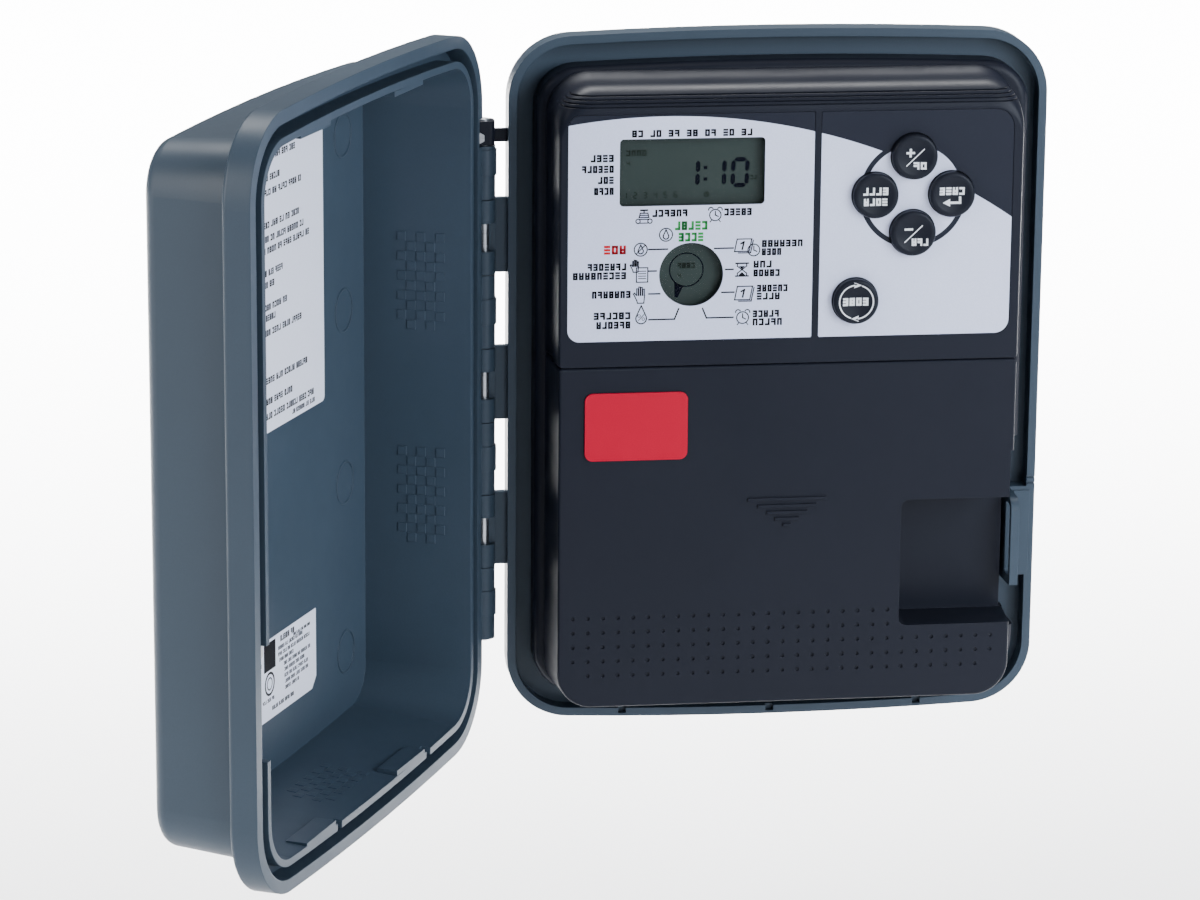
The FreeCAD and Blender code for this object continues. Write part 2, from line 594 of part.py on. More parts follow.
def make_keypad_plate():
    y0, y1 = rel(PLATE_FLOOR + PLATE_T), rel(PLATE_FLOOR)
    shape = right_plate_shape(y0, y1, 0.0)
    holes = [rod_y(x, z, BUTTON_HOLE_R, y0 - 1, y1 + 1) for x, z in button_centres().values()]
    return shape.cut(holes)


def make_button(x, z):
    front = rel(BUTTON_FRONT)
    cap = rod_y(x, z, BUTTON_R, front, rel(27.0))
    cap = fillet_edges(cap, 1.1, lambda e: abs(e.CenterOfMass.y - front) < 0.01)
    flange = rod_y(x, z, 9.7, rel(27.9), rel(26.7))
    dish_r = 30.0
    dish = Part.makeSphere(dish_r, V(x, front - dish_r + 0.75, z))
    dish = dish.common(rod_y(x, z, 6.6, front - 5, front + 2))
    stem = rod_y(x, z, 2.4, rel(26.7), rel(25.9))
    return cap.fuse([flange, stem]).cut(dish)


def make_lens_plate():
    x0, x1, z0, z1 = LCD_WINDOW
    front = plate(x0 + 0.1, x1 - 0.1, z0 + 0.1, z1 - 0.1, rel(FACE - 0.25), rel(28.2), 1.4)
    back = plate(x0 - 1.6, x1 + 1.6, z0 - 1.6, z1 + 1.6, rel(28.2), rel(27.2), 2.0)
    return front.fuse(back)


def make_dial_lens():
    x, z = DIAL_CENTRE
    front = rod_y(x, z, DIAL_R - 0.1, rel(FACE - 0.25), rel(28.2))
    return front.fuse(rod_y(x, z, DIAL_R + 1.6, rel(28.2), rel(27.2)))


def make_keypad_mat():
    sheet = plate(13.5, 73.5, 25.5, 101.0, rel(22.4), rel(21.2), 3.0)
    hollows = []
    for x, z in button_centres().values():
        sheet = sheet.fuse(rod_y(x, z, 5.5, rel(24.4), rel(22.0)))
        hollows.append(rod_y(x, z, 4.3, rel(23.6), rel(20.0)))
    return sheet.cut(hollows)


def make_circuit_board():
    board = box(-82.0, 82.0, rel(19.6), rel(18.0), 22.5, 103.5)
    holes = []
    for x in (-78.5, 78.5):
        for z in (27.0, 96.0):
            holes.append(rod_y(x, z, 1.2, rel(21), rel(17)))
    return board.cut(holes)


def make_board_components():
    """Chips, capacitors and triacs soldered on the back of the board."""
    solids = [box(-20, -6, rel(18.0), rel(15.8), 60, 74), box(22, 32, rel(18.0), rel(15.6), 40, 47)]
    for x in (-60.0, -46.0):
        solids.append(rod_y(x, 84.0, 4.0, rel(18.0), rel(8.0)))
    for index in range(8):
        x = -56.0 + index * 12.5
        solids.append(box(x, x + 4.6, rel(18.0), rel(9.0), 30.0, 31.8))
    solids.append(box(46, 60, rel(18.0), rel(10.0), 62, 80))
    return group(solids)


def make_board_screws():
    screws = []
    for x in (-78.5, 78.5):
        for z in (27.0, 96.0):
            head = rod_y(x, z, 2.2, rel(18.0), rel(16.6))
            slot = box(x - 1.6, x + 1.6, rel(17.1), rel(16), z - 0.3, z + 0.3)
            screws.append(head.fuse(rod_y(x, z, 0.95, rel(25.0), rel(18.0))).cut(slot))
    return group(screws)


def make_fascia_screws():
    screws = []
    for x in (-60.0, 60.0):
        for z in (17.8, 109.5):
            head = rod_y(x, z, 2.9, rel(-MODULE_BACK), rel(-MODULE_BACK - 1.8))
            slot = box(x - 2.0, x + 2.0, rel(-MODULE_BACK - 1.0), rel(-7), z - 0.4, z + 0.4)
            shank = rod_y(x, z, 1.2, rel(10.0), rel(-MODULE_BACK))
            screws.append(head.fuse(shank).cut(slot))
    return group(screws)


# ================================================================ lower cover
def cover_section(inset, y, width, bottom, radius):
    return panel_outline(-width + inset, width - inset, bottom + inset,
                         SPLIT_Z - SPLIT_GAP / 2 - inset, y, (1.2, 1.2, radius, radius))


def cover_solid(inset, front_cut):
    sections = [
        cover_section(inset, rel(5.4), 88.0, COVER_BOTTOM - 2.6, 15.0),
        cover_section(inset, rel(FACE - front_cut), 86.0, COVER_BOTTOM, 13.0),
    ]
    return Part.makeLoft(sections, True, True)


def make_lower_cover():
    front_y = rel(FACE)
    outer = cover_solid(0.0, 0.0)
    outer = fillet_edges(outer, 1.0, lambda e: abs(e.CenterOfMass.y - front_y) < 0.01)
    hollow = cover_solid(MODULE_WALL, MODULE_WALL)
    hollow = hollow.fuse(box(-80, 80, rel(3), rel(7), -112, 8))
    pocket_wall = box(POCKET_X0 - MODULE_WALL, 95, rel(POCKET_FLOOR - MODULE_WALL), rel(FACE + 1),
                      POCKET_Z[0] - MODULE_WALL, POCKET_Z[1] + MODULE_WALL)
    pocket = box(POCKET_X0, 87.6, rel(POCKET_FLOOR), rel(FACE + 1), POCKET_Z[0], POCKET_Z[1])
    pocket = fillet_edges(pocket, 3.0, lambda e: abs(e.CenterOfMass.x - POCKET_X0) < 0.01
                          and abs(e.CenterOfMass.z - POCKET_Z[0]) < 0.01
                          or abs(e.CenterOfMass.x - POCKET_X0) < 0.01
                          and abs(e.CenterOfMass.z - POCKET_Z[1]) < 0.01)
    side_gap = box(86.5, 95, rel(4), rel(FACE + 1), POCKET_Z[0] + 0.4, POCKET_Z[1])
    step_wall = box(STEP_X - MODULE_WALL, 95, rel(3), rel(FACE + 1), POCKET_Z[1], STEP_TOP + MODULE_WALL)
    step = box(STEP_X, 95, rel(4), rel(FACE + 1), POCKET_Z[1] - 0.1, STEP_TOP)
    shell = outer.cut(hollow.cut([pocket_wall, step_wall])).cut([pocket, side_gap, step])
    ribs = []
    for half, z in ((14.8, -39.2), (11.1, -41.9), (7.7, -44.4), (4.5, -46.9), (1.5, -49.3)):
        ribs.append(box(-half, half, rel(FACE + 0.7), rel(FACE - 0.5), z - 0.6, z + 0.6))
    shell = shell.fuse(ribs)
    return shell.cut(cover_dimples())


def cover_dimples():
    """Rows of small round recesses across the bottom of the cover."""
    pitch_x, pitch_z = 5.69, 5.6
    rows = ((0, 0, 22), (1, 0, 22), (2, 0, 29), (3, 0, 29), (4, 1, 27))
    dimples = []
    for row, first, count in rows:
        for column in range(first, first + count):
            x = -80.5 + column * pitch_x
            z = -83.6 - row * pitch_z
            dimples.append(rod_y(x, z, DIMPLE_R, rel(FACE + 0.5), rel(FACE - 0.5)))
    return dimples


# ================================================================ wiring compartment
def make_terminal_block():
    block = box(-72.0, 30.0, rel(13.0), rel(-1.8), -34.0, -18.0)
    block = block.cut(box(-73, 31, rel(14), rel(8.0), -35.0, -29.0))
    holes = []
    for index in range(14):
        x = -68.0 + index * 7.2
        holes.append(rod_y(x, -23.5, 2.2, rel(14), rel(5.0)))
        holes.append(rod_z(x, rel(3.5), 1.5, -35.0, -27.0))
    return block.cut(holes)


def make_terminal_screws():
    screws = []
    for index in range(14):
        x = -68.0 + index * 7.2
        head = rod_y(x, -23.5, 2.0, rel(11.0), rel(9.5))
        slot = box(x - 1.6, x + 1.6, rel(12), rel(10.3), -23.8, -23.2)
        screws.append(head.fuse(rod_y(x, -23.5, 1.2, rel(9.5), rel(5.2))).cut(slot))
    return group(screws)


def make_battery_holder():
    x, z = -56.0, -64.0
    cup = rod_y(x, z, 12.0, rel(4.2), rel(-1.8))
    return cup.cut(rod_y(x, z, 10.2, rel(5), rel(0.2)))


def make_fuse():
    tube = Part.makeCylinder(2.4, 11.0, V(-72.0, rel(5.2), -96.0), V(1, 0, 0))
    caps = []
    for x in (-77.5, -61.0):
        caps.append(Part.makeCylinder(2.6, 5.5, V(x, rel(5.2), -96.0), V(1, 0, 0)))
    return tube.fuse(caps)


def make_fuse_clips():
    clips = []
    for x in (-76.5, -60.0):
        leaf = box(x, x + 3.5, rel(5.6), rel(-1.8), -99.4, -92.6)
        clips.append(leaf.cut(Part.makeCylinder(2.65, 10, V(x - 3, rel(5.2), -96.0), V(1, 0, 0))))
    return group(clips)


def make_transformer():
    """Laminated core with its winding, in a steel strap with two screwed feet."""
    x0, x1, z0, z1 = -72.0, -20.0, -95.0, -53.0
    y0, y1 = -34.0, -12.0
    core = box(x0, x1, y0, y1, z0, z1)
    windows = [box(-63.5, -52.5, y0 - 1, y1 + 1, z0 + 9, z1 - 9),
               box(-39.5, -28.5, y0 - 1, y1 + 1, z0 + 9, z1 - 9)]
    core = core.cut(windows)
    coil = plate(-63.3, -28.7, z0 + 9.2, z1 - 9.2, y0 - 7.0, y1 + 2.6, 3.0)
    coil = coil.cut(box(-52.6, -39.4, y0 - 0.1, y1 + 0.1, z0 + 5, z1 - 5))
    foot_low = box(-52.0, -40.0, -10.4, -9.0, z0 - 9.5, z0)
    foot_high = box(-52.0, -40.0, -10.4, -9.0, z1, z1 + 9.5)
    leg_low = box(-52.0, -40.0, y0, -9.0, z0 - 1.4, z0)
    leg_high = box(-52.0, -40.0, y0, -9.0, z1, z1 + 1.4)
    holes = [rod_y(-46.0, z, 1.9, -12, -8) for z in TRANSFORMER_SCREW_Z]
    bracket_low = leg_low.fuse(foot_low).cut(holes)
    bracket_high = leg_high.fuse(foot_high).cut(holes)
    return core, coil, group([bracket_low, bracket_high])


def make_transformer_screws():
    screws = []
    for z in TRANSFORMER_SCREW_Z:
        screws.append(screw_y(-46.0, z, 3.0, 1.8, 1.25, -12.2, 5.6))
    return group(screws)


def make_mains_terminal():
    block = box(4.0, 34.0, -22.0, -BACK_T, -96.0, -80.0)
    holes = []
    for index in range(3):
        x = 9.0 + index * 10.0
        holes.append(rod_y(x, -88.0, 2.6, -23.0, -12.0))
    return block.cut(holes)


def make_module_screws():
    screws = []
    for x, z in MODULE_SCREW_POS:
        screws.append(screw_y(x, z, 3.3, 2.0, 1.25, rel(-1.8) - 2.0, 14.0))
    return group(screws)


def make_conduit_plug():
    """Snap plug closing the spare cable entry, head outside the tub bottom."""
    x, y = -CONDUIT_X, CONDUIT_Y
    low, high = CONDUIT_PAD_Z
    stem = rod_z(x, y, CONDUIT_R - 0.1, low, high + 2.0)
    head = rod_z(x, y, CONDUIT_R + 2.4, low - 2.0, low)
    head = fillet_edges(head, 1.0, lambda e: abs(e.CenterOfMass.z - (low - 2.0)) < 0.01)
    return stem.fuse(head).cut(rod_z(x, y, CONDUIT_R - 2.2, low + 1.0, high + 3.0))


def make_ground_screw():
    return screw_y(52.0, -60.0, 4.0, 2.2, 2.0, -BACK_T - 2.2, 2.4)


def build():
    add("cabinet_base", make_cabinet_base())
    add("hinge_pin", make_hinge_pin())
    add("pin_retainer", make_pin_retainer())
    add("retainer_bolt", make_retainer_bolt())
    add("module_housing", make_module_housing())
    add("module_fascia", make_module_fascia())
    add("display_plate", make_display_plate())
    add("keypad_plate", make_keypad_plate())
    for name, (x, z) in button_centres().items():
        add(name, make_button(x, z))
    add("lcd_lens", make_lens_plate())
    x0, x1, z0, z1 = LCD_WINDOW
    add("lcd_panel", plate(x0 - 2, x1 + 2, z0 - 3, z1 + 3, rel(27.0), rel(24.2), 1.0))
    add("dial_lens", make_dial_lens())
    dx, dz = DIAL_CENTRE
    add("dial_display", plate(dx - 14.5, dx + 14.5, dz - 14.5, dz + 14.5, rel(27.0), rel(24.2), 1.0))
    add("keypad_mat", make_keypad_mat())
    add("circuit_board", make_circuit_board())
    add("board_components", make_board_components())
    add("board_screws", make_board_screws())
    add("fascia_screws", make_fascia_screws())
    add("lower_cover", make_lower_cover())
    bx0, bx1, bz0, bz1 = BADGE
    add("cover_badge", plate(bx0, bx1, bz0, bz1, rel(FACE + 0.8), rel(FACE), 3.0))
    add("terminal_block", make_terminal_block())
    add("terminal_screws", make_terminal_screws())
    add("battery_holder", make_battery_holder())
    add("backup_cell", rod_y(-56.0, -64.0, 10.0, rel(3.4), rel(0.2)))
    add("fuse", make_fuse())
    add("fuse_clips", make_fuse_clips())
    core, coil, brackets = make_transformer()
    add("transformer_core", core)
    add("transformer_coil", coil)
    add("transformer_brackets", brackets)
    add("transformer_screws", make_transformer_screws())
    add("mains_terminal", make_mains_terminal())
    add("module_screws", make_module_screws())
    add("conduit_plug", make_conduit_plug())
    add("ground_screw", make_ground_screw())
    instruction, data = make_labels()
    swung = {
        "door_shell": make_door_shell(),
        "instruction_label": instruction,
        "data_label": data,
        "lock_body": make_lock_body(),
        "lock_nut": make_lock_nut(),
        "lock_plug": make_lock_plug(),
        "lock_cam": make_lock_cam(),
        "cam_screw": make_cam_screw(),
    }
    for name, shape in swung.items():
        add(name, turned(shape, DOOR_OPEN_ANGLE))


build()
os.makedirs("parts", exist_ok=True)
for name, shape in PARTS.items():
    shape.exportStep(os.path.join("parts", name + ".step"))
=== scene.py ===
import json
import math
import random

import bmesh
import bpy
from mathutils import Matrix, Vector
from mathutils.bvhtree import BVHTree


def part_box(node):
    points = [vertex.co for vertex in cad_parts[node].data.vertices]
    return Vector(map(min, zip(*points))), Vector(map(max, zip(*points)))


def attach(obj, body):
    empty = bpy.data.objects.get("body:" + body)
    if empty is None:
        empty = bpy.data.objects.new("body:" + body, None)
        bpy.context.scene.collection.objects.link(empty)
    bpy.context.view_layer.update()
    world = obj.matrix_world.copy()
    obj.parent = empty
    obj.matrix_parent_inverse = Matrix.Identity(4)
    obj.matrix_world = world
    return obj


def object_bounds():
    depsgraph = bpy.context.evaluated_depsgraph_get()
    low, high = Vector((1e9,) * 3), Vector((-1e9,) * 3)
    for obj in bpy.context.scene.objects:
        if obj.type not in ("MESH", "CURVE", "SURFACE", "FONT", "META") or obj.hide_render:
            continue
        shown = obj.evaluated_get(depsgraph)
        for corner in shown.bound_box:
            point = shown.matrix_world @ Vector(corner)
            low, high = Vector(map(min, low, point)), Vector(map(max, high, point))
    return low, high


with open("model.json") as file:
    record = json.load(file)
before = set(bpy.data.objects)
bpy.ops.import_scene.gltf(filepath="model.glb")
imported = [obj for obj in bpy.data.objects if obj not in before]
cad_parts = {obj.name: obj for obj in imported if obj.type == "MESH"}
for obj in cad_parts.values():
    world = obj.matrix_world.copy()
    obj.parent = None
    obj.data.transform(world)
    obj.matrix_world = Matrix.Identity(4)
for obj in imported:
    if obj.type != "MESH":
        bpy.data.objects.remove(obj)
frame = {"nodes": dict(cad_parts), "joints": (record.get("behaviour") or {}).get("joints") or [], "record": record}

# Outdoor irrigation controller: materials, printed legends, display segments, grip patches on the
# door, camera and light. Metres in the row frame. Drawn print is given in millimetres from an
# anchor on a CAD node.

CAD_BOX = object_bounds()
MM = 0.001
random.seed(7)

NODES = frame["nodes"]
RECORD = frame["record"]
JOINTS = {joint["name"]: joint for joint in frame["joints"]}

DOOR = JOINTS["door_hinge"]
HINGE = Vector(DOOR["pos_m"])
OPEN_ANGLE = math.radians(DOOR["range_deg"][1])
SWING = Matrix.Translation(HINGE) @ Matrix.Rotation(-OPEN_ANGLE, 4, "Z") @ Matrix.Translation(-HINGE)
UNSWING = SWING.inverted()


# ---------------------------------------------------------------- colour and node helpers
def srgb(red, green, blue):
    """Linear colour from 0-255 sRGB values."""
    values = []
    for part in (red, green, blue):
        share = part / 255
        values.append(share / 12.92 if share <= 0.04045 else ((share + 0.055) / 1.055) ** 2.4)
    return (*values, 1.0)


def scaled(colour, factor):
    """A lighter or darker version of a colour, with no part above 1."""
    return (*[min(1.0, value * factor) for value in colour[:3]], 1.0)


class Look:
    """One procedural material: a Principled shader and short helpers for its nodes."""

    def __init__(self, name, rough=0.5, metallic=0.0):
        self.material = bpy.data.materials.new(name)
        self.material.use_nodes = True
        self.tree = self.material.node_tree
        self.tree.nodes.clear()
        output = self.node("ShaderNodeOutputMaterial")
        self.shader = self.node("ShaderNodeBsdfPrincipled")
        self.tree.links.new(self.shader.outputs[0], output.inputs["Surface"])
        self.shader.inputs["Roughness"].default_value = rough
        self.shader.inputs["Metallic"].default_value = metallic
        self.coords = self.node("ShaderNodeTexCoord").outputs["Object"]
        self.normal = None

    def node(self, kind, **settings):
        made = self.tree.nodes.new(kind)
        for key, value in settings.items():
            setattr(made, key, value)
        return made

    def link(self, source, target):
        self.tree.links.new(source, target)

    def feed(self, value, target):
        """Links a socket, or sets a plain number."""
        if isinstance(value, bpy.types.NodeSocket):
            self.link(value, target)
        else:
            target.default_value = value

    def math(self, operation, first, second=0.0):
        made = self.node("ShaderNodeMath", operation=operation)
        self.feed(first, made.inputs[0])
        self.feed(second, made.inputs[1])
        return made.outputs[0]

    def noise(self, scale, detail=3.0, rough=0.55, stretch=None):
        made = self.node("ShaderNodeTexNoise")
        made.inputs["Scale"].default_value = scale
        made.inputs["Detail"].default_value = detail
        made.inputs["Roughness"].default_value = rough
        source = self.coords
        if stretch:
            mapping = self.node("ShaderNodeMapping")
            mapping.inputs["Scale"].default_value = stretch
            self.link(self.coords, mapping.inputs["Vector"])
            source = mapping.outputs[0]
        self.link(source, made.inputs["Vector"])
        return made.outputs["Fac"]

    def spread(self, value, low, high, out_low=0.0, out_high=1.0):
        made = self.node("ShaderNodeMapRange")
        self.link(value, made.inputs["Value"])
        made.inputs["From Min"].default_value = low
        made.inputs["From Max"].default_value = high
        made.inputs["To Min"].default_value = out_low
        made.inputs["To Max"].default_value = out_high
        return made.outputs[0]

    def mix(self, factor, first, second):
        made = self.node("ShaderNodeMix", data_type="RGBA")
        self.feed(factor, made.inputs["Factor"])
        self.feed(first, made.inputs["A"])
        self.feed(second, made.inputs["B"])
        return made.outputs["Result"]

    def distance(self, x, z):
        """Distance in metres from an axis that runs along Y."""
        gap = self.node("ShaderNodeVectorMath", operation="SUBTRACT")
        self.link(self.coords, gap.inputs[0])
        gap.inputs[1].default_value = (x, 0.0, z)
        flat = self.node("ShaderNodeVectorMath", operation="MULTIPLY")
        self.link(gap.outputs[0], flat.inputs[0])
        flat.inputs[1].default_value = (1.0, 0.0, 1.0)
        length = self.node("ShaderNodeVectorMath", operation="LENGTH")
        self.link(flat.outputs[0], length.inputs[0])
        return length.outputs["Value"]

    def soft_edges(self, radius):
        """Rounds CAD edges for shading, and gives a mask of where they are."""
        bevel = self.node("ShaderNodeBevel", samples=6)
        bevel.inputs["Radius"].default_value = radius
        self.normal = bevel.outputs[0]
        geometry = self.node("ShaderNodeNewGeometry")
        dot = self.node("ShaderNodeVectorMath", operation="DOT_PRODUCT")
        self.link(bevel.outputs[0], dot.inputs[0])
        self.link(geometry.outputs["Normal"], dot.inputs[1])
        return self.spread(dot.outputs["Value"], 0.98, 0.75)

    def bump(self, height, strength, depth):
        made = self.node("ShaderNodeBump")
        made.inputs["Strength"].default_value = strength
        made.inputs["Distance"].default_value = depth
        self.link(height, made.inputs["Height"])
        if self.normal is not None:
            self.link(self.normal, made.inputs["Normal"])
        self.normal = made.outputs[0]

    def done(self, colour=None, rough=None):
        if colour is not None:
            self.feed(colour, self.shader.inputs["Base Color"])
        if rough is not None:
            self.feed(rough, self.shader.inputs["Roughness"])
        if self.normal is not None:
            self.link(self.normal, self.shader.inputs["Normal"])
        return self.material


# ---------------------------------------------------------------- materials
def moulded(name, colour, rough, gloss=0.25, grain=1400.0, edge=0.0004, wear=0.35, scuffs=0.25):
    """Injection moulded plastic: spark texture, slow tone drift, lighter rubbed edges, faint scuffs."""
    look = Look(name)
    look.shader.inputs["Specular IOR Level"].default_value = gloss
    rim = look.soft_edges(edge)
    drift = look.spread(look.noise(9.0, 4.0), 0.3, 0.7)
    speck = look.spread(look.noise(grain, 2.0, 0.7), 0.35, 0.65)
    base = look.mix(drift, scaled(colour, 0.93), scaled(colour, 1.06))
    base = look.mix(look.math("MULTIPLY", speck, 0.5), base, scaled(colour, 0.90))
    worn = look.math("MULTIPLY", rim, look.spread(look.noise(160.0, 3.0), 0.35, 0.7, 0.0, wear))
    base = look.mix(worn, base, scaled(colour, 1.7))
    scratch = look.spread(look.noise(60.0, 6.0, 0.75, (1.0, 1.0, 9.0)), 0.62, 0.72)
    base = look.mix(look.math("MULTIPLY", scratch, scuffs), base, scaled(colour, 1.18))
    shine = look.spread(look.noise(26.0, 5.0), 0.25, 0.75, rough - 0.06, rough + 0.07)
    look.bump(look.noise(grain, 2.0, 0.65), 0.35, 0.00003)
    return look.done(base, shine)


def metal(name, colour, rough, stretch=(1.0, 1.0, 40.0)):
    """Plated or drawn metal with a directional grain."""
    look = Look(name, rough, 1.0)
    look.soft_edges(0.0002)
    grain = look.noise(300.0, 4.0, 0.6, stretch)
    base = look.mix(look.spread(grain, 0.3, 0.7), scaled(colour, 0.86), scaled(colour, 1.08))
    stain = look.spread(look.noise(70.0, 5.0), 0.45, 0.75)
    base = look.mix(look.math("MULTIPLY", stain, 0.25), base, scaled(colour, 0.7))
    shine = look.spread(grain, 0.2, 0.8, rough - 0.07, rough + 0.1)
    look.bump(grain, 0.15, 0.00002)
    return look.done(base, shine)


def ink(name, colour, rough=0.45):
    """Screen-printed ink: slightly uneven cover and a dry surface."""
    look = Look(name)
    look.shader.inputs["Specular IOR Level"].default_value = 0.12
    cover = look.spread(look.noise(2500.0, 3.0, 0.7), 0.3, 0.7)
    base = look.mix(cover, scaled(colour, 0.9), scaled(colour, 1.05))
    look.bump(look.noise(1800.0, 2.0), 0.2, 0.00001)
    return look.done(base, look.spread(cover, 0.0, 1.0, rough - 0.05, rough + 0.08))


def plate_layout():
    """Anchors of the printed overlays, from the nodes under them."""
    keys = {}
    for name in ("plus", "program", "next", "minus", "dial"):
        low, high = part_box("button_" + name)
        keys[name] = (low + high) / 2
    ring = (keys["plus"] + keys["minus"] + keys["program"] + keys["next"]) / 4
    low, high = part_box("dial_lens")
    dial = (low + high) / 2
    low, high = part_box("lcd_panel")
    screen = (low + high) / 2
    return keys, ring, dial, screen


KEYS, RING, DIAL, SCREEN = plate_layout()
RING_INNER = 18.2 * MM
RING_OUTER = 20.1 * MM
SWEEP_RADIUS = 227.0 * MM
SWEEP_CENTRE = (RING.x - 91.2 * MM, RING.z - 196.4 * MM)
EDGE_BLUR = 0.06 * MM


def overlay():
    """Silver polyester overlay with its charcoal sweep and the ring that links four keys."""
    silver = srgb(220, 226, 255)
    charcoal = srgb(29, 32, 43)
    look = Look("overlay_print")
    look.shader.inputs["Specular IOR Level"].default_value = 0.15
    look.soft_edges(0.0001)
    sparkle = look.spread(look.noise(2200.0, 2.0, 0.8), 0.3, 0.7)
    cloud = look.spread(look.noise(14.0, 3.0), 0.3, 0.7)
    base = look.mix(sparkle, scaled(silver, 0.92), scaled(silver, 1.04))
    base = look.mix(look.math("MULTIPLY", cloud, 0.3), base, scaled(silver, 0.93))
    sweep = look.distance(*SWEEP_CENTRE)
    ring = look.distance(RING.x, RING.z)
    above = look.spread(sweep, SWEEP_RADIUS - EDGE_BLUR, SWEEP_RADIUS + EDGE_BLUR)
    outside = look.spread(ring, RING_INNER - EDGE_BLUR, RING_INNER + EDGE_BLUR)
    inside = look.spread(ring, RING_OUTER + EDGE_BLUR, RING_OUTER - EDGE_BLUR)
    band = look.math("MULTIPLY", outside, inside)
    dark = look.math("MAXIMUM", look.math("MULTIPLY", above, outside), band)
    field = look.mix(sparkle, scaled(charcoal, 0.95), scaled(charcoal, 1.08))
    look.bump(look.noise(1500.0, 2.0), 0.25, 0.00001)
    shine = look.spread(look.noise(30.0, 4.0), 0.2, 0.8, 0.30, 0.42)
    return look.done(look.mix(dark, base, field), shine)


def window(name, tint, alpha, rough):
    """Thin clear acrylic: mostly see-through, with a faint moulded haze."""
    look = Look(name, rough)
    look.soft_edges(0.0003)
    haze = look.spread(look.noise(40.0, 3.0), 0.3, 0.7, rough, rough + 0.06)
    base = look.mix(look.noise(300.0), scaled(tint, 0.9), tint)
    look.shader.inputs["Alpha"].default_value = alpha
    look.shader.inputs["Specular IOR Level"].default_value = 0.4
    return look.done(base, haze)


def lcd():
    """Reflective display glass: grey-green with a slow wave and fine grain."""
    colour = srgb(58, 69, 66)
    look = Look("display_glass")
    wave = look.spread(look.noise(18.0, 2.0), 0.3, 0.7)
    grain = look.spread(look.noise(4000.0, 1.0), 0.3, 0.7)
    base = look.mix(wave, scaled(colour, 0.9), scaled(colour, 1.06))
    base = look.mix(look.math("MULTIPLY", grain, 0.25), base, scaled(colour, 0.9))
    look.bump(wave, 0.05, 0.00002)
    return look.done(base, look.spread(wave, 0.0, 1.0, 0.16, 0.24))


def paper():
    """Coated label stock with fibre mottling."""
    colour = srgb(232, 236, 252)
    look = Look("label_stock")
    fibre = look.spread(look.noise(900.0, 5.0, 0.7), 0.3, 0.7)
    base = look.mix(fibre, scaled(colour, 0.95), colour)
    look.bump(look.noise(700.0, 4.0), 0.2, 0.00002)
    return look.done(base, look.spread(fibre, 0.0, 1.0, 0.42, 0.55))


def board():
    """Solder mask over copper traces."""
    colour = srgb(22, 88, 48)
    look = Look("solder_mask")
    trace = look.node("ShaderNodeTexBrick")
    trace.inputs["Scale"].default_value = 260.0
    look.link(look.coords, trace.inputs["Vector"])
    base = look.mix(trace.outputs["Fac"], colour, scaled(colour, 1.5))
    base = look.mix(look.spread(look.noise(60.0), 0.3, 0.7), base, scaled(colour, 0.8))
    look.bump(trace.outputs["Fac"], 0.3, 0.00004)
    return look.done(base, 0.35)


def laminations():
    """Varnished transformer steel, seen as stacked sheets."""
    colour = srgb(86, 86, 90)
    look = Look("laminated_core", 0.45, 0.6)
    look.soft_edges(0.0003)
    sheets = look.node("ShaderNodeTexWave", bands_direction="Y")
    sheets.inputs["Scale"].default_value = 700.0
    sheets.inputs["Distortion"].default_value = 0.4
    look.link(look.coords, sheets.inputs["Vector"])
    rust = look.spread(look.noise(80.0, 5.0), 0.55, 0.8)
    base = look.mix(sheets.outputs["Fac"], scaled(colour, 0.7), colour)
    base = look.mix(look.math("MULTIPLY", rust, 0.4), base, srgb(104, 74, 52))
    look.bump(sheets.outputs["Fac"], 0.4, 0.0001)
    return look.done(base, 0.45)


def tape():
    """Overlapping turns of winding tape."""
    colour = srgb(226, 198, 92)
    look = Look("winding_tape")
    look.soft_edges(0.0006)
    turns = look.node("ShaderNodeTexWave", bands_direction="Z", wave_profile="SAW")
    turns.inputs["Scale"].default_value = 45.0
    turns.inputs["Distortion"].default_value = 0.8
    look.link(look.coords, turns.inputs["Vector"])
    base = look.mix(turns.outputs["Fac"], scaled(colour, 0.8), colour)
    look.bump(turns.outputs["Fac"], 0.4, 0.0002)
    return look.done(base, 0.38)


CASE = srgb(55, 68, 81)
BLACK = srgb(25, 28, 38)

LOOKS = {
    "cabinet": moulded("case_plastic", CASE, 0.42),
    "module_black": moulded("module_plastic", BLACK, 0.40, 0.14, grain=2000.0, wear=0.22, scuffs=0.12),
    "button_black": moulded("key_plastic", srgb(23, 26, 35), 0.36, 0.14, grain=2600.0, wear=0.4),
    "decal_silver": overlay(),
    "badge_red": ink("badge_ink", srgb(190, 0, 46), 0.42),
    "label_white": paper(),
    "clear_lens": window("lens_acrylic", srgb(30, 34, 33), 0.10, 0.06),
    "lcd_glass": lcd(),
    "fuse_glass": window("fuse_tube", srgb(200, 208, 206), 0.35, 0.05),
    "rubber_mat": moulded("silicone", srgb(110, 110, 112), 0.7, grain=900.0, wear=0.0),
    "board_green": board(),
    "component_black": moulded("component_body", srgb(38, 38, 42), 0.5, edge=0.0002, wear=0.2),
    "terminal_green": moulded("terminal_body", srgb(44, 120, 70), 0.42, edge=0.0003),
    "core_steel": laminations(),
    "coil_tape": tape(),
    "steel": metal("zinc_steel", srgb(196, 198, 202), 0.30),
    "lock_zinc": metal("lock_plating", srgb(208, 210, 214), 0.20, (1.0, 30.0, 1.0)),
    "brass": metal("brass_clip", srgb(214, 176, 98), 0.30),
}
SLOT_OF = {part["node"]: part["material_slot"] for part in RECORD["subparts"]}


def dress_nodes():
    for name, piece in NODES.items():
        piece.data.materials.clear()
        piece.data.materials.append(LOOKS[SLOT_OF[name]])


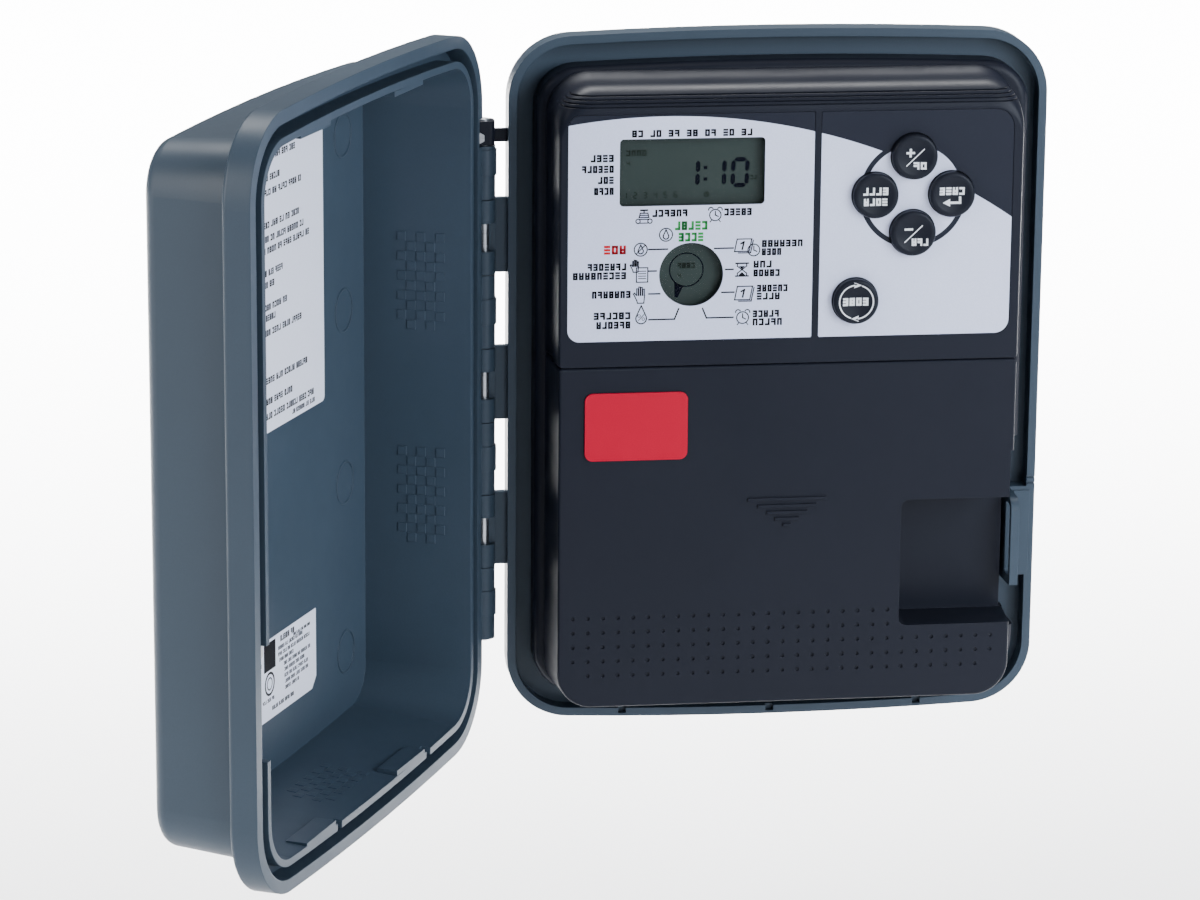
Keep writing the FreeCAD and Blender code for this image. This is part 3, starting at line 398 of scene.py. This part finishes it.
# ---------------------------------------------------------------- meshes
def prism(mesh, front, back):
    """Closed solid between two matching rings of vertices."""
    mesh.faces.new(front)
    mesh.faces.new(back[::-1])
    for index in range(len(front)):
        after = (index + 1) % len(front)
        mesh.faces.new((front[index], back[index], back[after], front[after]))


def new_piece(name, mesh, material, swing):
    """Scene object from a finished bmesh. swing takes shut-door points to the open door."""
    bmesh.ops.recalc_face_normals(mesh, faces=mesh.faces)
    data = bpy.data.meshes.new(name)
    mesh.to_mesh(data)
    mesh.free()
    if swing:
        data.transform(SWING)
    data.materials.append(material)
    piece = bpy.data.objects.new(name, data)
    bpy.context.scene.collection.objects.link(piece)
    return piece


def ray_tree(name, placed=Matrix.Identity(4)):
    """Search tree of a CAD node's faces, for finding its surface under a point."""
    mesh = NODES[name].data
    points = [placed @ vertex.co for vertex in mesh.vertices]
    return BVHTree.FromPolygons(points, [face.vertices for face in mesh.polygons])


# ---------------------------------------------------------------- drawn print
INK = 0.04
DISPLAY_INK = 0.03
INK_SINK = 0.3
STROKE = 0.42
LEADER = 0.55
# The bars of each letter-sized mark: l left, r right, t top, m middle, b bottom.
MARK_ASPECT = 0.80
MARK_FILL = 0.80
MARK_WEIGHT = 0.27
MARKS = ("ltrb", "rtmb", "rtb", "tmb", "ltr", "ltrmb", "rb", "lrmb", "rtm")


class Print:
    """Flat shapes in one mesh, drawn in X and Z millimetres around an anchor, facing -Y.

    surface(x, z) gives the Y of the surface under a drawn point, in metres. flip draws towards -X
    and faces +Y, for print on the inside of the door."""

    def __init__(self, anchor, surface, flip=False, thickness=INK):
        self.mesh = bmesh.new()
        self.anchor = anchor
        self.surface = surface
        self.side = 1 if flip else -1
        self.thickness = thickness * MM

    def vertex(self, x, z, lift):
        world_x = self.anchor.x - self.side * x * MM
        world_z = self.anchor.z + z * MM
        y = self.surface(world_x, world_z) + self.side * lift
        return self.mesh.verts.new((world_x, y, world_z))

    def shape(self, points):
        """Closed outline given as (x, z) pairs, extruded to the ink thickness."""
        front = [self.vertex(x, z, self.thickness) for x, z in points]
        back = [self.vertex(x, z, -INK_SINK * self.thickness) for x, z in points]
        prism(self.mesh, front, back)

    def bar(self, x0, x1, z0, z1):
        self.shape(((x0, z0), (x1, z0), (x1, z1), (x0, z1)))

    def ring(self, x, z, radius, width, start=0.0, end=360.0, steps=40):
        """Band along a circle between two angles in degrees."""
        turns = [math.radians(start + (end - start) * step / steps) for step in range(steps + 1)]
        for first, second in zip(turns, turns[1:]):
            quad = []
            for turn, reach in ((first, radius - width / 2), (second, radius - width / 2),
                                (second, radius + width / 2), (first, radius + width / 2)):
                quad.append((x + reach * math.cos(turn), z + reach * math.sin(turn)))
            self.shape(quad)

    def line(self, points, width):
        """Stroke through the points, one quad per run, with square ends that overlap at corners."""
        for (x0, z0), (x1, z1) in zip(points, points[1:]):
            length = math.hypot(x1 - x0, z1 - z0)
            ux, uz = (x1 - x0) / length * width / 2, (z1 - z0) / length * width / 2
            self.shape(((x0 - ux + uz, z0 - uz - ux), (x1 + ux + uz, z1 + uz - ux),
                        (x1 + ux - uz, z1 + uz + ux), (x0 - ux - uz, z0 - uz + ux)))

    def loop(self, points, width):
        self.line(tuple(points) + (points[0],), width)

    def word(self, x0, x1, z0, z1):
        """Stand-in for a word: a row of letter-sized marks, in forms drawn at random."""
        height = z1 - z0
        stroke = MARK_WEIGHT * height
        count = max(1, round((x1 - x0) / (MARK_ASPECT * height)))
        pitch = (x1 - x0) / count
        middle = (z0 + z1) / 2
        for index in range(count):
            left = x0 + index * pitch
            right = left + MARK_FILL * pitch
            form = random.choice(MARKS)
            if "l" in form:
                self.bar(left, left + stroke, z0, z1)
            if "r" in form:
                self.bar(right - stroke, right, z0, z1)
            if "t" in form:
                self.bar(left, right, z1 - stroke, z1)
            if "m" in form:
                self.bar(left, right, middle - stroke / 2, middle + stroke / 2)
            if "b" in form:
                self.bar(left, right, z0, z0 + stroke)

    def build(self, name, material, body, slot, swing=False):
        piece = new_piece(name, self.mesh, material, swing)
        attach(piece, body)


def flat(y):
    return lambda x, z: y


def front_of(name):
    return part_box(name)[0].y


DARK_INK = ink("ink_dark", srgb(9, 10, 18))
GREEN_INK = ink("ink_green", srgb(40, 150, 66))
RED_INK = ink("ink_red", srgb(196, 18, 28))
WHITE_INK = ink("ink_white", srgb(236, 239, 244))
SEGMENT_INK = ink("display_segments", srgb(4, 6, 24), 0.25)
FAINT_INK = ink("display_faint", srgb(34, 42, 38), 0.25)


# ---------------------------------------------------------------- icons
def clock(pen, x, z, radius, bells=False):
    pen.ring(x, z, radius, STROKE)
    pen.line(((x, z + 0.65 * radius), (x, z), (x + 0.5 * radius, z - 0.25 * radius)), STROKE)
    if bells:
        for side in (-1, 1):
            tilt = 110 if side < 0 else 70
            bell = (x + side * 0.78 * radius, z + 0.95 * radius)
            pen.ring(*bell, 0.42 * radius, STROKE, tilt - 90, tilt + 90, 12)
            foot = (x + side * 0.6 * radius, z - 0.85 * radius)
            pen.line((foot, (x + side * 0.9 * radius, z - 1.2 * radius)), 0.35)


def drop(pen, x, z, height):
    radius = height * 0.30
    points = [(x, z + height * 0.55)]
    for step in range(13):
        turn = math.radians(20 - step * 220 / 12)
        points.append((x + radius * math.cos(turn), z - height * 0.18 + radius * math.sin(turn)))
    pen.loop(points, STROKE)


def calendar(pen, x, z, width, height):
    """Two leaning sheets with a date figure on the front one."""
    lean = 0.16 * width
    offset = 0.55
    for shift in (0.0, offset):
        left, right = x - width / 2 + shift, x + width / 2 - offset + shift
        low, high = z - height / 2 + offset - shift, z + height / 2 - shift
        if shift:
            pen.line(((left + lean, low), (right, low), (right + lean, high)), STROKE)
        else:
            pen.loop(((left, low), (right, low), (right + lean, high), (left + lean, high)), STROKE)
    pen.line(((x - 0.6, z + 0.9), (x + 0.5, z + 1.5), (x - 0.1, z - 1.2)), 0.6)


def hand(pen, x, z, height):
    """Open palm: four fingers, a thumb and a wrist in outline."""
    unit = height / 6.6
    for index, top in enumerate((2.5, 3.2, 3.0, 2.3)):
        left = x + (index - 2) * 0.85 * unit
        right = left + 0.6 * unit
        tip, root = z + top * unit, z - 0.2 * unit
        pen.line(((left, root), (left, tip), (right, tip), (right, root)), 0.36)
    palm = ((-1.7, -0.2), (-2.5, 0.8), (-2.9, 0.4), (-1.6, -2.2), (-1.3, -3.3), (1.2, -3.3), (1.5, -0.2))
    pen.line([(x + across * unit, z + up * unit) for across, up in palm], 0.4)


def hourglass(pen, x, z, width, height):
    """Glass in outline, with sand above the neck and below it."""
    half, tall = width / 2, height / 2
    for side in (-1, 1):
        pen.line(((x - half, z + side * tall), (x + half, z + side * tall)), 0.55)
        pen.line(((x - 0.75 * half, z + side * tall), (x - 0.75 * half, z + side * 0.55 * tall), (x, z),
                  (x + 0.75 * half, z + side * 0.55 * tall), (x + 0.75 * half, z + side * tall)), 0.4)
    pen.shape(((x - 0.6 * half, z - 0.9 * tall), (x + 0.6 * half, z - 0.9 * tall), (x, z - 0.35 * tall)))
    pen.shape(((x - 0.5 * half, z + 0.55 * tall), (x, z + 0.1 * tall), (x + 0.5 * half, z + 0.55 * tall)))


def valve(pen, x, z):
    """Pipe valve with its handle on top."""
    pen.bar(x - 1.5, x + 1.5, z + 2.0, z + 2.6)
    pen.line(((x, z + 2.2), (x, z + 1.2)), 0.5)
    pen.loop(((x - 1.8, z - 0.4), (x + 1.8, z - 0.4), (x + 1.4, z + 1.2), (x - 1.4, z + 1.2)), STROKE)
    pen.line(((x - 1.4, z + 0.4), (x + 1.4, z + 0.4)), 0.4)
    for side in (-1, 1):
        pen.ring(x + side * 2.2, z - 1.8, 0.8, STROKE, steps=16)
    pen.line(((x - 1.4, z - 1.1), (x + 1.4, z - 1.1)), 0.4)
    pen.line(((x - 1.4, z - 2.5), (x + 1.4, z - 2.5)), 0.4)


def page(pen, x, z, width, height):
    """Sheet of paper with four lines on it."""
    pen.loop(((x - width / 2, z - height / 2), (x + width / 2, z - height / 2),
              (x + width / 2, z + height / 2), (x - width / 2, z + height / 2)), 0.4)
    for step in range(4):
        level = z + height * (0.26 - 0.17 * step)
        pen.line(((x - 0.32 * width, level), (x + 0.32 * width, level)), 0.32)


# ---------------------------------------------------------------- display overlay
def print_display_overlay():
    surface = flat(front_of("display_plate"))
    pen = Print(DIAL, surface)
    for index in range(7):
        left = -22.4 + index * 6.72
        pen.word(left, left + 4.5, 51.5, 54.1)
    for left, middle in ((-37.5, 43.9), (-40.7, 39.9), (-34.8, 35.8), (-36.2, 31.7)):
        pen.word(left, -28.6, middle - 1.35, middle + 1.35)
    valve(pen, -17.7, 22.1)
    pen.word(-14.6, -1.2, 21.8, 24.5)
    clock(pen, 8.7, 22.1, 2.1, bells=True)
    pen.word(12.0, 22.6, 21.8, 24.5)
    pen.ring(-9.5, 15.1, 2.4, STROKE)
    drop(pen, -9.5, 15.1, 3.4)
    pen.ring(-18.8, 9.7, 2.4, STROKE)
    drop(pen, -18.8, 9.7, 3.2)
    pen.line(((-20.4, 8.1), (-17.2, 11.3)), 0.4)
    for left, middle in ((-38.4, 3.4), (-43.8, 0.1), (-36.7, -7.0), (-36.0, -15.0), (-35.0, -18.5)):
        right = -23.7 if middle > -5 else -22.0
        pen.word(left, right, middle - 1.35, middle + 1.35)
    hand(pen, -20.6, 3.6, 4.6)
    page(pen, -18.2, 0.2, 4.2, 5.4)
    hand(pen, -18.6, -7.3, 6.2)
    drop(pen, -18.4, -15.0, 6.6)
    pen.line(((-19.4, -16.9), (-17.4, -14.7)), 0.3)
    pen.ring(-19.2, -15.2, 0.5, 0.25, steps=12)
    pen.ring(-17.6, -16.4, 0.5, 0.25, steps=12)
    for x0, x1, level in ((-15.8, -8.9, 9.7), (-15.7, -13.0, 1.6), (-15.6, -11.6, -7.0)):
        pen.line(((x0, level), (x1, level)), LEADER)
    pen.line(((-15.5, -16.7), (-6.0, -16.7), (-4.5, -12.8)), LEADER)
    for x0, x1, level in ((8.6, 15.5, 9.6), (12.8, 15.6, 1.6), (11.5, 16.0, -7.0)):
        pen.line(((x0, level), (x1, level)), LEADER)
    pen.line(((4.4, -12.9), (5.9, -16.5), (15.8, -16.5)), LEADER)
    calendar(pen, 19.0, 10.3, 6.0, 5.2)
    clock(pen, 23.2, 8.7, 2.2)
    hourglass(pen, 18.9, 1.4, 4.6, 4.8)
    calendar(pen, 19.4, -7.7, 6.2, 5.6)
    clock(pen, 19.4, -16.7, 2.2, bells=True)
    for x0, x1, low in ((26.2, 41.8, 9.7), (26.2, 33.8, 6.6), (23.2, 30.4, 2.0), (23.2, 33.4, -1.3),
                        (24.6, 36.4, -7.1), (24.6, 33.6, -10.1), (23.2, 33.4, -16.7), (23.2, 34.6, -19.8)):
        pen.word(x0, x1, low, low + 2.65)
    pen.build("display_legends", DARK_INK, "cabinet", "decal_silver")

    green = Print(DIAL, surface)
    green.word(-6.2, 6.3, 16.7, 20.0)
    green.word(-4.8, 4.8, 12.4, 15.7)
    green.build("display_legend_green", GREEN_INK, "cabinet", "decal_silver")
    red = Print(DIAL, surface)
    red.word(-32.4, -23.7, 8.1, 11.4)
    red.build("display_legend_red", RED_INK, "cabinet", "decal_silver")


# ---------------------------------------------------------------- display segments
SEGMENTS = {"0": "abcdef", "1": "bc", "2": "abged", "3": "abgcd", "4": "fgbc", "5": "afgcd", "6": "afgedc"}


def digit(pen, figure, x, z, width, height, stroke, lean=0.0):
    """Seven-segment figure, its low left corner at x, z."""
    half = height / 2
    gap = stroke * 0.12
    runs = {
        "a": ((0, height), (width, height)), "g": ((0, half), (width, half)), "d": ((0, 0), (width, 0)),
        "f": ((0, half), (0, height)), "b": ((width, half), (width, height)),
        "e": ((0, 0), (0, half)), "c": ((width, 0), (width, half)),
    }
    for name in SEGMENTS[figure]:
        (x0, z0), (x1, z1) = runs[name]
        length = math.hypot(x1 - x0, z1 - z0)
        ux, uz = (x1 - x0) / length, (z1 - z0) / length
        trim = gap + stroke * 0.5
        points = []
        for along, across in ((gap, 0.0), (trim, -0.5), (length - trim, -0.5), (length - gap, 0.0),
                              (length - trim, 0.5), (trim, 0.5)):
            px = x0 + ux * along - uz * across * stroke
            pz = z0 + uz * along + ux * across * stroke
            points.append((x + px + lean * pz, z + pz))
        pen.shape(points)


def draw_displays():
    surface = flat(front_of("lcd_panel"))
    lit = Print(SCREEN, surface, thickness=DISPLAY_INK)
    for figure, left in (("1", -2.9), ("1", 6.9), ("0", 15.4)):
        digit(lit, figure, left, -5.9, 5.2, 9.6, 1.7, lean=0.03)
    for level in (0.9, -3.4):
        lit.bar(4.6, 6.0, level - 0.65, level + 0.65)
    lit.build("display_digits", SEGMENT_INK, "cabinet", "lcd_glass")
    faint = Print(SCREEN, surface, thickness=DISPLAY_INK)
    faint.word(-24.1, -16.2, 5.6, 7.8)
    digit(faint, "4", -23.8, 1.9, 1.1, 1.9, 0.4)
    for index in range(6):
        digit(faint, str(index + 1), -24.9 + index * 3.72, -10.1, 1.1, 2.1, 0.42)
    clock(faint, 5.8, -9.1, 0.85)
    faint.word(21.9, 24.6, -3.9, -2.2)
    faint.build("display_small_marks", FAINT_INK, "cabinet", "lcd_glass")

    surface = flat(front_of("dial_display"))
    mode = Print(DIAL, surface, thickness=DISPLAY_INK)
    mode.ring(-1.3, 1.1, 6.25, 0.48)
    mode.shape(((-5.7, -3.6), (-2.4, -5.2), (-4.5, -9.4), (-5.6, -9.0)))
    mode.build("mode_pointer", SEGMENT_INK, "cabinet", "lcd_glass")
    hint = Print(DIAL, surface, thickness=DISPLAY_INK)
    hint.word(-4.6, 2.2, 1.7, 3.7)
    digit(hint, "4", -4.4, -1.9, 1.0, 1.8, 0.38)
    hint.build("mode_small_marks", FAINT_INK, "cabinet", "lcd_glass")


# ---------------------------------------------------------------- key legends
def surface_of(name):
    """Y of the front of a CAD node under a point, by a ray towards +Y."""
    tree = ray_tree(name)

    def look_up(x, z):
        return tree.ray_cast(Vector((x, -1.0, z)), Vector((0, 1, 0)))[0].y
    return look_up


def symbol_and_word(pen, plus):
    """A plus or a minus sign over a slanted line, with a short word under it."""
    pen.bar(-3.4, -0.2, 1.15, 1.95)
    if plus:
        pen.bar(-2.2, -1.4, -0.05, 3.15)
    pen.line(((-3.2, -3.2), (3.2, 2.9)), 0.38)
    pen.word(-0.6, 4.7 if plus else 5.9, -4.6, -1.9)


def key_legends():
    """White print on the five keys; it rides with its key."""
    for name, body in (("plus", "plus_key"), ("minus", "minus_key")):
        pen = Print(KEYS[name], surface_of("button_" + name))
        symbol_and_word(pen, name == "plus")
        pen.build("legend_" + name, WHITE_INK, body, "button_black")
    pen = Print(KEYS["program"], surface_of("button_program"))
    pen.word(-4.9, 4.9, 0.3, 3.2)
    pen.word(-4.6, 4.6, -3.6, -0.9)
    pen.build("legend_program", WHITE_INK, "program_key", "button_black")
    pen = Print(KEYS["next"], surface_of("button_next"))
    pen.word(-4.9, 4.9, -0.1, 2.8)
    pen.line(((2.8, -1.1), (2.8, -3.0), (-1.2, -3.0)), 0.85)
    pen.shape(((-3.7, -3.0), (-0.9, -4.4), (-0.9, -1.6)))
    pen.build("legend_next", WHITE_INK, "next_key", "button_black")
    pen = Print(KEYS["dial"], surface_of("button_dial"))
    pen.ring(0.0, 0.0, 6.35, 0.5, 95.0, 252.0, 30)
    pen.ring(0.0, 0.0, 6.35, 0.5, -85.0, 72.0, 30)
    pen.shape(((-0.9, 5.2), (1.9, 6.3), (-0.9, 7.4)))
    pen.shape(((0.9, -5.2), (-1.9, -6.3), (0.9, -7.4)))
    pen.word(-5.0, 5.0, -1.5, 1.5)
    pen.build("legend_dial", WHITE_INK, "dial_key", "button_black")


# ---------------------------------------------------------------- door interior
def shut_box(name):
    """Corners of a door node as it stands with the door shut."""
    points = [UNSWING @ vertex.co for vertex in NODES[name].data.vertices]
    low = Vector([min(point[axis] for point in points) for axis in range(3)])
    high = Vector([max(point[axis] for point in points) for axis in range(3)])
    return low, high


def label_pen(name):
    """Pen on a door label: x runs from the label's reading side, z down from its top edge."""
    low, high = shut_box(name)
    return Print(Vector((high.x, 0.0, high.z)), flat(high.y), flip=True)


def text_line(pen, x0, x1, level, height):
    """A printed line: words of varied length with gaps."""
    x = x0
    while x < x1 - height:
        length = min(random.uniform(2.2, 6.5) * height * 0.7, x1 - x)
        pen.word(x, x + length, level - height / 2, level + height / 2)
        x += length + height * 0.55


def print_instruction_label():
    """A title, then groups of lines. Each line is its level and where it ends."""
    pen = label_pen("instruction_label")
    line_height = 2.3
    text_line(pen, 10.6, 90.0, -3.2, line_height)
    lines = (
        (-10.6, 78.0), (-15.8, 95.0),
        (-27.4, 93.0), (-32.4, 97.0), (-36.6, 102.0),
        (-44.6, 81.0), (-48.8, 73.0),
        (-57.0, 82.0), (-60.8, 71.0), (-66.2, 98.0),
        (-73.6, 62.0),
        (-83.6, 100.0),
        (-91.2, 86.0), (-96.6, 108.0),
    )
    for level, end in lines:
        text_line(pen, 7.0, end, level, line_height)
    text_line(pen, 85.0, 106.0, -99.9, 1.7)
    pen.build("instruction_print", DARK_INK, "door", "label_white", swing=True)


def print_data_label():
    """A black square, a round mark and small text in blocks."""
    pen = label_pen("data_label")
    pen.bar(19.0, 29.5, -11.5, -1.0)
    pen.ring(24.0, -16.6, 4.0, 0.9)
    pen.ring(24.0, -16.6, 2.2, 0.5)
    text_line(pen, 34.0, 47.0, -2.4, 2.2)
    text_line(pen, 46.0, 62.0, -4.2, 1.1)
    rows = ((32.0, 54.5), (32.0, 61.0), (33.0, 46.0), (37.0, 61.5),
            (37.5, 56.0), (37.5, 60.0), (38.0, 59.5), (38.0, 51.0))
    for index, (start, end) in enumerate(rows):
        text_line(pen, start, end, -5.6 - 2.35 * index, 1.35)
    text_line(pen, 4.0, 17.0, -4.0, 1.5)
    text_line(pen, 4.0, 17.0, -8.0, 1.5)
    text_line(pen, 17.5, 29.0, -22.6, 1.3)
    text_line(pen, 26.0, 48.0, -26.4, 1.5)
    pen.build("data_print", DARK_INK, "door", "label_white", swing=True)


PATCH_WIDTH = 18.6 * MM
PATCH_LENGTH = 37.2 * MM
PATCH_COLUMNS = 5
PATCH_ROWS = 10
PATCH_RAISE = 0.22 * MM
PATCH_SINK = 0.3 * MM


def checker_patch(name, start, run, across):
    """Alternate shallow squares on a door wall: start, run and across are in shut-door metres."""
    tree = ray_tree("door_shell", UNSWING)
    outward = run.cross(across).normalized()
    if start.dot(outward) <= 0:
        outward.negate()
    mesh = bmesh.new()
    for column in range(PATCH_COLUMNS):
        for row in range(PATCH_ROWS):
            if (column + row) % 2:
                continue
            corners = []
            for u, v in ((0.04, 0.04), (0.96, 0.04), (0.96, 0.96), (0.04, 0.96)):
                origin = start + run * ((column + u) / PATCH_COLUMNS) + across * ((row + v) / PATCH_ROWS)
                corners.append(tree.ray_cast(origin, outward)[0])
            front = [mesh.verts.new(point - outward * PATCH_RAISE) for point in corners]
            rear = [mesh.verts.new(point + outward * PATCH_SINK) for point in corners]
            prism(mesh, front, rear)
    piece = new_piece(name, mesh, LOOKS["cabinet"], swing=True)
    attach(piece, "door")


def door_patches():
    """Two patches on the hinge-side wall of the door and one on its bottom wall."""
    low, high = shut_box("door_shell")
    middle_x = (low.x + high.x) / 2
    rim_y = HINGE.y - 1.2 * MM
    front_y = rim_y - 8.0 * MM
    run = Vector((0, -PATCH_WIDTH, 0))
    for name, top in (("grip_patch_upper", 60.0), ("grip_patch_lower", -22.0)):
        start = Vector((middle_x - 60 * MM, front_y, top * MM))
        checker_patch(name, start, run, Vector((0, 0, -PATCH_LENGTH)))
    start = Vector((middle_x - 14 * MM, front_y, -100 * MM))
    checker_patch("grip_patch_bottom", start, run, Vector((PATCH_LENGTH, 0, 0)))


# ---------------------------------------------------------------- camera and light
CAMERA_PLACE = (-0.2930, -1.7226, 0.4123)
CAMERA_LENS = 138.2
CAMERA_YAW = 7.75
CAMERA_PITCH = 14.64
CAMERA_ROLL = 0.44
FLOOR_GAP = 0.10
FLOOR_X = (-1.9, 2.2)
FLOOR_Y = (-1.0, 6.0)
WORLD_LIGHT = 0.18
WORLD_SEEN = 2.6
STUDIO_CENTRE = (0.0, -0.05, 0.0)
COOL_LIGHT = (0.84, 0.91, 1.0)
WARM_LIGHT = (1.0, 0.98, 0.96)


def add_camera():
    """Long lens, left of and above the object, as a shop photograph is taken."""
    data = bpy.data.cameras.new("camera")
    data.lens = CAMERA_LENS
    data.sensor_width = 36.0
    data.clip_end = 60.0
    camera = bpy.data.objects.new("camera", data)
    yaw = Matrix.Rotation(math.radians(-CAMERA_YAW), 4, "Z")
    pitch = Matrix.Rotation(math.radians(90 - CAMERA_PITCH), 4, "X")
    roll = Matrix.Rotation(math.radians(CAMERA_ROLL), 4, "Z")
    camera.matrix_world = Matrix.Translation(CAMERA_PLACE) @ yaw @ pitch @ roll
    bpy.context.scene.collection.objects.link(camera)
    bpy.context.scene.camera = camera


def add_area(name, place, target, size, power, colour=(1.0, 1.0, 1.0), spread=180):
    """Rectangular light aimed at a point, with its power in watts and its spread in degrees."""
    data = bpy.data.lights.new(name, "AREA")
    data.spread = math.radians(spread)
    data.shape = "RECTANGLE"
    data.size, data.size_y = size
    data.energy = power
    data.color = colour
    lamp = bpy.data.objects.new(name, data)
    lamp.location = place
    lamp.rotation_euler = (Vector(target) - Vector(place)).to_track_quat("-Z", "Y").to_euler()
    bpy.context.scene.collection.objects.link(lamp)


def add_floor():
    data = bpy.data.meshes.new("studio_floor")
    level = Vector(CAD_BOX[0]).z - FLOOR_GAP
    left, right = FLOOR_X
    near, far = FLOOR_Y
    corners = [(x, y, level) for x, y in ((left, near), (right, near), (right, far), (left, far))]
    data.from_pydata(corners, [], [(0, 1, 2, 3)])
    floor = bpy.data.objects.new("studio_floor", data)
    bpy.context.scene.collection.objects.link(floor)
    look = Look("studio_paper", 0.9)
    tone = srgb(252, 252, 253)
    data.materials.append(look.done(look.mix(look.noise(3.0), scaled(tone, 0.985), tone)))


def add_world():
    """Pale surroundings: bright where the camera sees them, weak as a light."""
    world = bpy.data.worlds.new("studio_world")
    world.use_nodes = True
    background = world.node_tree.nodes["Background"]
    background.inputs["Color"].default_value = (0.95, 0.96, 1.0, 1.0)
    rays = world.node_tree.nodes.new("ShaderNodeLightPath")
    seen = world.node_tree.nodes.new("ShaderNodeMapRange")
    seen.inputs["To Min"].default_value = WORLD_LIGHT
    seen.inputs["To Max"].default_value = WORLD_SEEN
    world.node_tree.links.new(rays.outputs["Is Camera Ray"], seen.inputs["Value"])
    world.node_tree.links.new(seen.outputs[0], background.inputs["Strength"])
    bpy.context.scene.world = world


def add_lights():
    add_area("overhead_box", (0.3, -0.5, 1.9), STUDIO_CENTRE, (1.4, 1.0), 7.0)
    add_area("right_box", (0.85, -0.90, 0.45), STUDIO_CENTRE, (0.6, 0.7), 15.0, COOL_LIGHT)
    add_area("front_box", (0.9, -2.0, 0.30), STUDIO_CENTRE, (1.1, 0.9), 20.0, COOL_LIGHT)
    add_area("left_box", (-2.1, -1.0, 0.7), STUDIO_CENTRE, (0.9, 1.5), 44.0, WARM_LIGHT)
    add_area("backdrop_box", (0.0, 2.1, 1.7), (0.0, 2.1, -1.0), (4.5, 3.2), 700.0, spread=80)


dress_nodes()
print_display_overlay()
draw_displays()
key_legends()
print_instruction_label()
print_data_label()
door_patches()
add_camera()
add_floor()
add_world()
add_lights()
